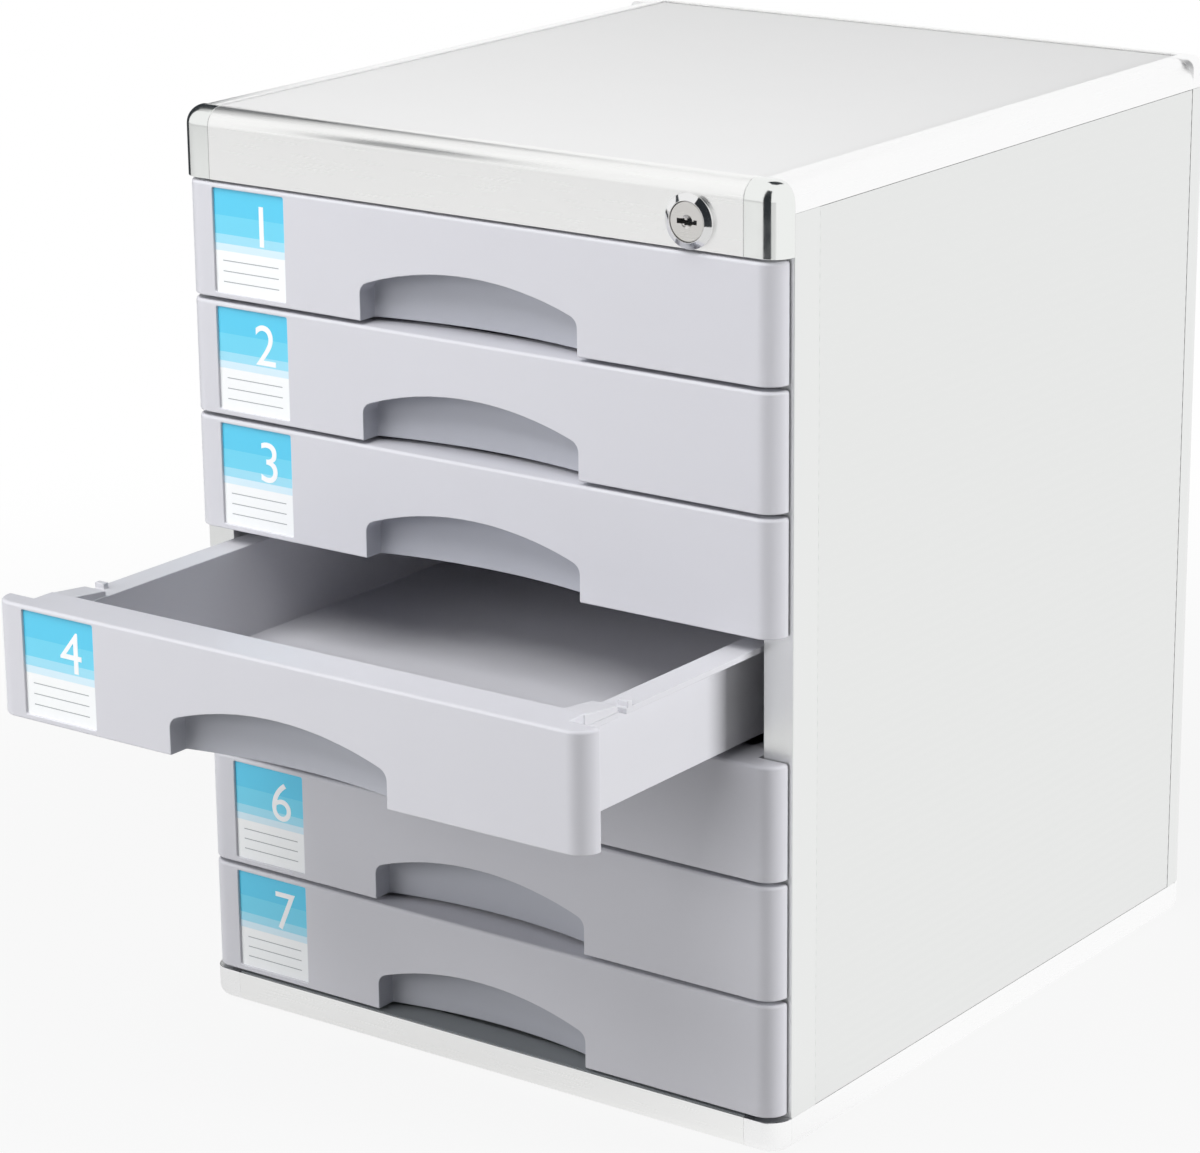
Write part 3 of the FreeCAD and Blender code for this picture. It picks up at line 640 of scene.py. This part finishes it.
for level in DRAWERS:
    body = f"drawer_{level}"
    card = sweep(f"drawer_{level}_card", block_outline((0, LABEL_WIDTH), (0, CARD_HEIGHT), 0.6),
                 flat_on_card, (0, CARD_THICKNESS))
    card_spot = spot(LABEL_LEFT, POCKET_DEPTH - CARD_THICKNESS, LABEL_BOTTOM)
    card.location = drawer_move(level) @ card_spot
    place(card, card_print, body, "label_card", f"drawer_{level}_label")
    number = bpy.data.objects.new(f"drawer_{level}_number", number_shape(str(level), 25))
    bpy.context.scene.collection.objects.link(number)
    number.location = card.location + Vector((25.5, -0.04, 21.5)) * MM
    place(number, white_ink, body, "label_card")
    for row, height in enumerate(RULE_HEIGHTS):
        rule_outline = block_outline((4, 34), (height, height + 0.35))
        rule = sweep(f"drawer_{level}_rule_{row + 1}", rule_outline, flat_on_card, (-0.03, 0.02))
        rule.location = card.location
        place(rule, grey_ink, body, "label_card")
print("cards placed:", len(DRAWERS))

# %% [markdown]
# ## Top of the cabinet
#
# The flat board on top lies inside four nosings: extruded rails with a rounded outer edge and
# a lip that stands a little above the board. Each is one outline swept along its side. The
# thin groove round the board is real: the board is cut half a millimetre short all round, and
# the shade in that gap draws the fine line seen in the photograph.

# %% The top board
board_edge = block_outline((-136.5, 136.5), (10.5, 330.0))
top_board = sweep("top_board", board_edge, upwards, (393.2, 397.2))
soften(top_board, 0.25, 2)
place(top_board, top_paint, "cabinet", "top_board", "top_panel")
print("top board:", [round(size / MM) for size in top_board.dimensions[:2]], "mm")

# %% The nosings
WALL = 1.8
CORNER_INNER = 133.2


def nosing_outline(nose, lip, bottom, foot):
    """Section of a nosing, as distance in from its outer face and height."""
    return rounded([(0, bottom, 0), (0, HEIGHT, nose), (lip, HEIGHT, 0), (lip, 393.2, 0),
                    (lip + 6, 393.2, 0), (lip + 6, 391.4, 0), (lip - WALL, 391.4, 0),
                    (lip - WALL, HEIGHT - WALL, 0), (WALL, HEIGHT - WALL, nose - WALL),
                    (WALL, bottom + WALL, 0), (foot, bottom + WALL, 0), (foot, bottom, 0)], 14)


def from_left(inset, z, depth):
    return spot(inset - HALF_WIDTH, depth, z)


def from_right(inset, z, depth):
    return spot(HALF_WIDTH - inset, depth, z)


def from_back(inset, z, x):
    return spot(x, DEPTH - inset, z)


LOCK_X = 109.0
LOCK_Z = 379.8
LOCK_HOLE = 7.5

front_rail = sweep("front_rail", nosing_outline(8.0, 10.0, STACK_TOP, 14.0), sideways,
                   (-CORNER_INNER, CORNER_INNER))
hole_outline = [(LOCK_X + LOCK_HOLE * cos(turn * pi / 24), LOCK_Z + LOCK_HOLE * sin(turn * pi / 24))
                for turn in range(48)]
lock_hole = sweep("lock hole", hole_outline, inwards, (-1, 4))
combine(front_rail, [lock_hole], "DIFFERENCE")
soften(front_rail, 0.25, 2)
place(front_rail, rail_across, "cabinet", "rail_alloy", "top_rail_front")
rear_rail = sweep("rear_rail", nosing_outline(4.0, 6.5, NOSING_BOTTOM, 6.5), from_back,
                  (-CORNER_INNER, CORNER_INNER))
soften(rear_rail, 0.25, 2)
place(rear_rail, rail_across, "cabinet", "rail_alloy", "top_rail_rear")
for side, direction in (("left", from_left), ("right", from_right)):
    nosing = sweep(f"nosing_{side}", nosing_outline(10.0, 13.0, NOSING_BOTTOM, 8.0), direction,
                   (10, 321))
    sign = 1 if side == "right" else -1
    seat = sweep("seat", block_outline(sorted((sign * 137, sign * 126)), (8, 16.3)), upwards,
                 (380, 393.5))
    combine(nosing, [seat], "DIFFERENCE")
    soften(nosing, 0.25, 2)
    place(nosing, rail_inwards, "cabinet", "rail_alloy", f"top_rail_{side}")
print("nosings placed")

# %% [markdown]
# ### Corner caps
#
# The caps are bright mouldings that close the ends of the nosings. Each is rounded in plan
# and over its rim at once, so its plan outline shrinks ring by ring as it goes round the rim.
# A row of such rings gives a smooth skin, where two bevels one after the other would meet in
# an uneven patch.

# %% Rings that shrink round a rim
def cap_form(name, far, heights, rim, plan_round=9.7, steps=10):
    """Right front corner block, rounded over the end of its height range."""
    base, top = heights
    rings = []
    direction = 1 if top > base else -1
    levels = [(0.0, base)]
    for step in range(steps + 1):
        turn = pi / 2 * step / steps
        levels.append((rim * (1 - cos(turn)), top - direction * rim * (1 - sin(turn))))
    for inset, z in levels:
        plan = rounded([(CORNER_INNER, inset, 0), (HALF_WIDTH - inset, inset, plan_round - inset),
                        (HALF_WIDTH - inset, far, 0), (CORNER_INNER, far, 0)], 12)
        rings.append([spot(x, depth, z) for x, depth in plan])
    return skin(name, rings)


def mirrored(piece, name, axis):
    """A copy of a piece on the other side of the cabinet's middle."""
    flip = [1, 1, 1]
    flip[axis] = -1
    copy = bpy.data.objects.new(name, piece.data.copy())
    copy.data.transform(Matrix.Diagonal((*flip, 1)))
    copy.data.flip_normals()
    bpy.context.scene.collection.objects.link(copy)
    return copy


front_caps = [cap_form("cap_front_right", 10.0, (STACK_TOP, HEIGHT), 8.0)]
front_caps.append(mirrored(front_caps[0], "cap_front_left", 0))
rear_cap = cap_form("cap_rear_right", 16.0, (NOSING_BOTTOM, HEIGHT), 4.0)
rear_cap.data.transform(Matrix.Diagonal((1, -1, 1, 1)))
rear_cap.data.flip_normals()
clearance = sweep("clearance", block_outline((130, 137), (315, 330.5)), upwards, (384, 399))
hole = sweep("hole", [(328 + 0.9 * cos(turn * pi / 12), 390.9 + 0.9 * sin(turn * pi / 12))
                      for turn in range(24)], sideways, (146, 152))
combine(rear_cap, [clearance, hole], "DIFFERENCE")
rear_caps = [rear_cap, mirrored(rear_cap, "cap_rear_left", 0)]
for caps, node in ((front_caps, "top_corners_front"), (rear_caps, "top_corners_rear")):
    for cap in caps:
        soften(cap, 0.3, 2)
        metal = cap_metal if node == "top_corners_front" else rail_inwards
        place(cap, metal, "cabinet", "corner_silver", node)
print("caps placed: 4")

# %% [markdown]
# ## Walls
#
# The side walls are ribbed sheet between a front post and a rear post. The ribs are only a
# fraction of a millimetre deep, but light skims along them, so they are modelled rather than
# painted. Posts are short sweeps with one rounded edge.

# %% Posts
def post_outline(side, near, far, radius, rounded_end):
    """Plan of a post at one side of the cabinet, with one outer corner rounded."""
    outer, inner = side * HALF_WIDTH, side * 136
    first = radius if rounded_end == "near" else 0
    second = radius if rounded_end == "far" else 0
    return rounded([(inner, near, 0), (outer, near, first), (outer, far, second), (inner, far, 0)],
                   12)


for side, sign in (("left", -1), ("right", 1)):
    for end, near, far, radius, rounded_end in (("front", 10, 27, 0.6, "near"),
                                                ("rear", 321, 337, 9.7, "far")):
        outline = post_outline(sign, near, far, radius, rounded_end)
        post = sweep(f"{end}_post_{side}", outline, upwards, (STACK_BOTTOM, NOSING_BOTTOM))
        soften(post, 0.2, 2)
        place(post, post_metal, "cabinet", "post_alloy", f"post_{end}_{side}")
print("posts placed: 4")

# %% Ribbed side sheets
RIB_PITCH = 4.85
RIB_DEPTH = 0.12
RIB_COUNT = int((NOSING_BOTTOM - STACK_BOTTOM) / RIB_PITCH)
SEAM = 0.15


def rib_outline():
    """Section of the side sheet: a shallow wave down its outer face."""
    first = STACK_BOTTOM + (NOSING_BOTTOM - STACK_BOTTOM - RIB_COUNT * RIB_PITCH) / 2
    line = [(3.0, STACK_BOTTOM + SEAM), (RIB_DEPTH, STACK_BOTTOM + SEAM)]
    for step in range(RIB_COUNT * 6 + 1):
        wave = (1 + cos(2 * pi * step / 6)) / 2
        line.append((RIB_DEPTH * wave, first + RIB_PITCH * step / 6))
    return line + [(RIB_DEPTH, NOSING_BOTTOM - SEAM), (3.0, NOSING_BOTTOM - SEAM)]


for side, direction in (("left", from_left), ("right", from_right)):
    sheet = sweep(f"ribbed_sheet_{side}", rib_outline(), direction, (27.05, 320.5))
    sheet.data.shade_smooth()
    soften(sheet, 0.1, 2, 60)
    place(sheet, sheet_metal, "cabinet", "side_sheet", f"side_panel_{side}")
print("ribs on each side:", RIB_COUNT)

# %% [markdown]
# ## Base ring
#
# The cabinet stands in a ring of four rails with a rounded lower edge and four corner blocks.
# They are made as the top was: one section for the rails, and shrinking rings for the corners.

# %% Base rails
def base_outline(lip, flange):
    """Section of a base rail, as distance in from its outer face and height."""
    return rounded([(0, 16, 0), (0, 2, 5.0), (flange, 2, 0), (flange, 3.8, 0), (WALL, 3.8, 3.2),
                    (WALL, 10, 0), (lip + 6, 10, 0), (lip + 6, 11.8, 0), (lip, 11.8, 0),
                    (lip, 16, 0)], 10)


base_rails = [("front", base_outline(6, 9), sideways, (-CORNER_INNER, CORNER_INNER), rail_across),
              ("rear", base_outline(6, 9), from_back, (-CORNER_INNER, CORNER_INNER), rail_across),
              ("left", base_outline(15, 24), from_left, (10, 327), rail_inwards),
              ("right", base_outline(15, 24), from_right, (10, 327), rail_inwards)]
for side, outline, direction, ends, metal in base_rails:
    rail = sweep(f"base_rail_of_{side}", outline, direction, ends)
    soften(rail, 0.25, 2)
    place(rail, metal, "cabinet", "rail_alloy", f"base_rail_{side}")
print("base rails placed:", len(base_rails))

# %% Base corners
base_right = cap_form("base_corner_1", 10.0, (STACK_BOTTOM, 2.0), 5.0)
base_left = mirrored(base_right, "base_corner_2", 0)
base_corners = [base_right, base_left, mirrored(base_right, "base_corner_3", 1),
                mirrored(base_left, "base_corner_4", 1)]
for corner in base_corners:
    soften(corner, 0.3, 2)
    place(corner, rail_inwards, "cabinet", "corner_silver", "base_corners")
print("base corners placed:", len(base_corners))

# %% [markdown]
# ### The board in the base, and painted shade on the rail's ledge
#
# Through the finger arch of the lowest drawer the base board shows, right up to the edge of the
# rail. The rail's ledge there lies in the shade of the drawer above, so a thin strip in the board's
# grey paint is laid over it as painted shade: nothing but its upper face is ever seen, and a
# thicker strip would touch the drawer above.

# %% Painted shade on the base rail's ledge
# A grey strip over the rail's ledge: painted shade.
ledge_shade_strip = sweep("base_ledge_shade_strip", block_outline((-133, 133), (0.9, 15.5)), upwards, (16.0, 16.4))
soften(ledge_shade_strip, 0.1, 2)
place(ledge_shade_strip, base_paint_and_ledge_shade, "cabinet", "base_board")
print("strip:", round(ledge_shade_strip.dimensions.y / MM, 1), "mm deep")

# %% [markdown]
# ## The lock
#
# A cam lock shows a chrome ring with a wide bevel, and inside it the flat face of the plug
# with its keyway. Both are turned parts, so their sections are spun about the lock's axis.

# %% Turned forms
def turned(name, section, x=LOCK_X, z=LOCK_Z, steps=72):
    """A closed form spun about a line that runs inwards; sections give depth and radius."""
    rings = []
    for step in range(steps):
        turn = 2 * pi * step / steps
        rings.append([spot(x + radius * cos(turn), depth, z + radius * sin(turn))
                      for depth, radius in section])
    mesh = bpy.data.meshes.new(name)
    form = bmesh.new()
    loops = [[form.verts.new(corner) for corner in ring] for ring in rings]
    for index, loop in enumerate(loops):
        before = loops[index - 1]
        for i in range(len(loop)):
            form.faces.new((before[i - 1], before[i], loop[i], loop[i - 1]))
    bmesh.ops.remove_doubles(form, verts=form.verts, dist=0.001 * MM)
    bmesh.ops.recalc_face_normals(form, faces=form.faces)
    form.to_mesh(mesh)
    form.free()
    piece = bpy.data.objects.new(name, mesh)
    bpy.context.scene.collection.objects.link(piece)
    return piece


bezel = turned("lock_bezel", [(0, 7.4), (0, 11), (-1.45, 11), (-2.95, 8.2), (-2.9, 8.05),
                              (-0.5, 8.05), (-0.5, 6.05), (26, 6.05), (26, 7.4)])
soften(bezel, 0.15, 2)
place(bezel, chrome, "cabinet", "lock_chrome", "lock_housing")
print("bezel:", round(bezel.dimensions.x / MM, 1), "mm across")

# %% The plug and its keyway
plug = turned("plug", [(-2.45, 0.001), (-2.6, 1.0), (-2.6, 7.6), (-2.2, 7.95), (-0.8, 7.95),
                       (-0.8, 6), (28, 6), (28, 0.001)])
key_line = [(-4.6, -1.0), (-1.5, -1.0), (-1.5, -1.5), (1.2, -1.5), (1.2, -0.9), (4.6, -0.9),
            (4.6, 0.9), (3.1, 0.9), (3.1, 0.3), (2.1, 0.3), (2.1, 1.1), (-0.6, 1.1), (-0.6, 0.3),
            (-1.6, 0.3), (-1.6, 1.0), (-4.6, 1.0)]
keyway = sweep("keyway", [(LOCK_X + x, LOCK_Z + z) for x, z in key_line], inwards, (-4, 6))
dish = turned("dish", [(-4, 0.001), (-4, 2.7), (-2.6, 2.7), (-1.4, 1.2), (-1.4, 0.001)])
combine(plug, [dish, keyway], "DIFFERENCE")
soften(plug, 0.1, 2)
place(plug, face_metal, "lock_plug", "lock_chrome", "lock_plug")
# A dark plate 2 mm inside the keyway is painted shade: it stands for the shade deep in the slot.
keyway_end = block_outline((LOCK_X - 4.6, LOCK_X + 4.6), (LOCK_Z - 2, LOCK_Z + 1.4))
keyway_shade_plate = sweep("keyway_shade_plate", keyway_end, inwards, (2.0, 2.4))
place(keyway_shade_plate, dark_plastic_and_keyway_shade, "lock_plug", "lock_chrome")
print("faces of the plug:", len(plug.data.polygons))

# %% [markdown]
# ## Back, base and inside
#
# What the photograph doesn't show still gets its finish: the board at the back, screws down
# the rear posts, the base board, the rubber feet, and the runners and lock parts inside.
# Their imported shapes are right, so they only need a material.

# %% Finishes for the parts that stay
def dress(node, material, edge=0.0):
    """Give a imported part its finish, and soft edges where they can be seen."""
    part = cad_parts[node]
    part.data.materials.clear()
    part.data.materials.append(material)
    if edge:
        soften(part, edge, 2)


dress("back_panel", back_paint)
dress("base_panel", base_paint_and_ledge_shade)
dress("foot_pads", rubber)
dress("lock_nut", zinc)
dress("lock_cam", zinc)
dress("lock_bar", zinc)
dress("lock_bar_guides", dark_plastic_and_keyway_shade)
for side in ("left", "right"):
    for node in (f"runner_wall_{side}", f"runner_ledges_{side}", f"hold_downs_{side}"):
        dress(node, dark_plastic_and_keyway_shade)
print("parts that keep their shape are dressed")

# %% Pan-head screws at the back
SCREW_ROWS = 4
SCREW_HEAD = [(337, 0.001), (337, 2.9), (337.7, 2.9), (338.3, 2.3), (338.6, 1.2), (338.6, 0.001)]
for row in range(SCREW_ROWS):
    z = STACK_BOTTOM + 24 + row * (NOSING_BOTTOM - STACK_BOTTOM - 48) / (SCREW_ROWS - 1)
    for side, x in (("left", -140.8), ("right", 140.8)):
        head = turned(f"screw_{side}_{row + 1}", SCREW_HEAD, x, z, 24)
        slots = [sweep("slot", block_outline((x - a, x + a), (z - b, z + b)), inwards, (338.0, 339))
                 for a, b in ((1.5, 0.3), (0.3, 1.5))]
        combine(head, slots, "DIFFERENCE")
        soften(head, 0.08, 2)
        place(head, zinc, "cabinet", "plated_steel", "frame_screws")
print("screws:", 2 * SCREW_ROWS)

# %% [markdown]
# ## The studio
#
# The cabinet stands on a pale floor in soft light: a large lamp high in front, a low one from
# the left front that fills the finger recesses, and one from the right for the side wall. The
# camera, mirrors and glass see plain white around, while the light that falls on the cabinet
# comes from the lamps and a dim surround. A brighter room would give the same white
# background, but it would wash out the cabinet's own greys.

# %% Surround and floor
def only_seen(tree):
    """One where a ray comes from the camera, a mirror or glass, and nought for light."""
    path = tree.nodes.new("ShaderNodeLightPath")
    total = None
    for kind in ("Is Camera Ray", "Is Glossy Ray", "Is Transmission Ray"):
        if total is None:
            total = path.outputs[kind]
            continue
        largest = tree.nodes.new("ShaderNodeMath")
        largest.operation = "MAXIMUM"
        tree.links.new(total, largest.inputs[0])
        tree.links.new(path.outputs[kind], largest.inputs[1])
        total = largest.outputs["Value"]
    return total


SURROUND_LIGHT = 0.07
world = bpy.data.worlds.new("studio")
bpy.context.scene.world = world
world.use_nodes = True
sky = world.node_tree
lit = sky.nodes["Background"]
lit.inputs["Color"].default_value = (1, 1, 1, 1)
lit.inputs["Strength"].default_value = SURROUND_LIGHT
white = sky.nodes.new("ShaderNodeBackground")
white.inputs["Color"].default_value = (1, 1, 1, 1)
white.inputs["Strength"].default_value = 1.0
choice = sky.nodes.new("ShaderNodeMixShader")
sky.links.new(only_seen(sky), choice.inputs["Fac"])
sky.links.new(lit.outputs["Background"], choice.inputs[1])
sky.links.new(white.outputs["Background"], choice.inputs[2])
sky.links.new(choice.outputs["Shader"], sky.nodes["World Output"].inputs["Surface"])
print("surround light:", SURROUND_LIGHT)

# %% [markdown]
# ### The floor
#
# To the camera the floor glows white, a little less near the cabinet, so that its soft shadow
# stays. To light it is an ordinary grey surface that sends some light back up. In the metal
# it is white too, but greyer towards the left, as it is in the rail's reflection.

# %% Floor that keeps a soft shadow
floor_material = bpy.data.materials.new("pale floor")
floor_material.use_nodes = True
floor_tree = floor_material.node_tree
floor_tree.nodes.remove(floor_tree.nodes["Principled BSDF"])
floor_paint = floor_tree.nodes.new("ShaderNodeBsdfDiffuse")
floor_paint.inputs["Color"].default_value = (0.42, 0.42, 0.42, 1)
floor_glow = floor_tree.nodes.new("ShaderNodeEmission")
floor_glow.inputs["Strength"].default_value = 1.0
floor_place = floor_tree.nodes.new("ShaderNodeTexCoord")


def graded(value, near, far, low, high):
    """A share of glow that changes smoothly over a stretch of the floor."""
    grade = floor_tree.nodes.new("ShaderNodeMapRange")
    grade.interpolation_type = "SMOOTHSTEP"
    for name, number in (("From Min", near), ("From Max", far), ("To Min", low), ("To Max", high)):
        grade.inputs[name].default_value = number
    floor_tree.links.new(value, grade.inputs["Value"])
    return grade.outputs["Result"]


def floor_maths(operation, first, second):
    """One step of arithmetic in the floor's node tree."""
    step = floor_tree.nodes.new("ShaderNodeMath")
    step.operation = operation
    floor_tree.links.new(first, step.inputs[0])
    floor_tree.links.new(second, step.inputs[1])
    return step.outputs["Value"]


from_cabinet = floor_tree.nodes.new("ShaderNodeVectorMath")
from_cabinet.operation = "LENGTH"
floor_tree.links.new(floor_place.outputs["Object"], from_cabinet.inputs[0])
to_right = floor_tree.nodes.new("ShaderNodeVectorMath")
to_right.operation = "DOT_PRODUCT"
to_right.inputs[1].default_value = (1, 1, 0)
floor_tree.links.new(floor_place.outputs["Object"], to_right.inputs[0])
floor_path = floor_tree.nodes.new("ShaderNodeLightPath")
to_camera = floor_maths("MULTIPLY", floor_path.outputs["Is Camera Ray"],
                        graded(from_cabinet.outputs["Value"], 0.25, 0.95, 0.9, 1.0))
in_metal = floor_maths("MAXIMUM", floor_path.outputs["Is Glossy Ray"],
                       floor_path.outputs["Is Transmission Ray"])
in_metal = floor_maths("MULTIPLY", in_metal,
                       graded(to_right.outputs["Value"], -0.22, 0.12, 0.68, 1.0))
floor_mix = floor_tree.nodes.new("ShaderNodeMixShader")
floor_tree.links.new(floor_maths("MAXIMUM", to_camera, in_metal), floor_mix.inputs["Fac"])
floor_tree.links.new(floor_paint.outputs["BSDF"], floor_mix.inputs[1])
floor_tree.links.new(floor_glow.outputs["Emission"], floor_mix.inputs[2])
floor_output = floor_tree.nodes["Material Output"]
floor_tree.links.new(floor_mix.outputs["Shader"], floor_output.inputs["Surface"])

FLOOR_REACH = 8000
floor_outline = block_outline((-FLOOR_REACH, FLOOR_REACH), (-FLOOR_REACH, FLOOR_REACH))
floor = skin("floor", [[Vector((x, y, z)) * MM for x, y in floor_outline] for z in (-40, 0)])
floor.data.materials.append(floor_material)
print("floor:", round(floor.dimensions.x), "m wide")

# %% Lamps
LAMP_DISTANCE = 2.2


def soft_lamp(name, turn, rise, width, height, strength):
    """A large lamp in a direction (degrees), with the brightness it gives a facing white."""
    data = bpy.data.lights.new(name, "AREA")
    data.shape = "RECTANGLE"
    data.size = width
    data.size_y = height
    data.energy = strength * pi ** 2 * LAMP_DISTANCE ** 2
    lamp = bpy.data.objects.new(name, data)
    away = Vector((cos(radians(turn)) * cos(radians(rise)), sin(radians(turn)) * cos(radians(rise)),
                   sin(radians(rise))))
    lamp.location = Vector((0, -0.1, 0.2)) + away * LAMP_DISTANCE
    lamp.rotation_euler = away.to_track_quat("Z", "Y").to_euler()
    lamp.visible_glossy = False
    bpy.context.scene.collection.objects.link(lamp)
    return lamp


soft_lamp("key lamp", -125, 14, 1.6, 0.9, 0.47)
soft_lamp("overhead lamp", -97, 58, 1.6, 1.4, 0.87)
soft_lamp("side lamp", 27, 7, 0.85, 0.7, 0.95)
print("lamps:", len(bpy.data.lights))

# %% [markdown]
# ### Dark cards
#
# Bright metal only looks like metal when it has something dark to reflect. A photographer puts
# black cards, called flags, round the object, just outside the picture. Each card here is a
# patch of a sphere round the lock, given by the directions it fills, so that a line seen in the
# metal can be put where it belongs. Only reflections see the cards, and no light is lost.

# %% The dark cards
card_material = bpy.data.materials.new("dark card")
card_material.use_nodes = True
card_shader = card_material.node_tree.nodes["Principled BSDF"]
card_shader.inputs["Base Color"].default_value = (0.03, 0.035, 0.04, 1)
card_shader.inputs["Roughness"].default_value = 0.9
NEAR_LOCK = Vector((0.13, -0.16, 0.38))


def dark_card(name, turns, rises, distance=1.25):
    """A dark patch that fills the directions between two turns and two rises (degrees)."""
    rings = []
    for step in range(9):
        turn = radians(turns[0] + (turns[1] - turns[0]) * step / 8)
        ring = []
        for reach, order in ((distance, range(9)), (distance + 0.01, reversed(range(9)))):
            for part in order:
                rise = radians(rises[0] + (rises[1] - rises[0]) * part / 8)
                away = Vector((cos(turn) * cos(rise), sin(turn) * cos(rise), sin(rise)))
                ring.append(NEAR_LOCK + away * reach)
        rings.append(ring)
    card = skin(name, rings)
    card.data.materials.append(card_material)
    card.visible_camera = False
    card.visible_diffuse = False
    card.visible_shadow = False
    return card


dark_card("flag_beside_camera", (-103, -66), (-30, 60))
dark_card("flag_behind", (80, 142), (52, 78))
dark_card("flag_behind_left", (141, 182), (-30, 40))
dark_card("flag_near_lock", (-160, -148), (8, 22), 0.3)
print("dark cards placed")

# %% [markdown]
# ## Colours
#
# The picture's colours are left as the light gives them.

# %% Finish
bpy.context.scene.view_settings.view_transform = "Standard"
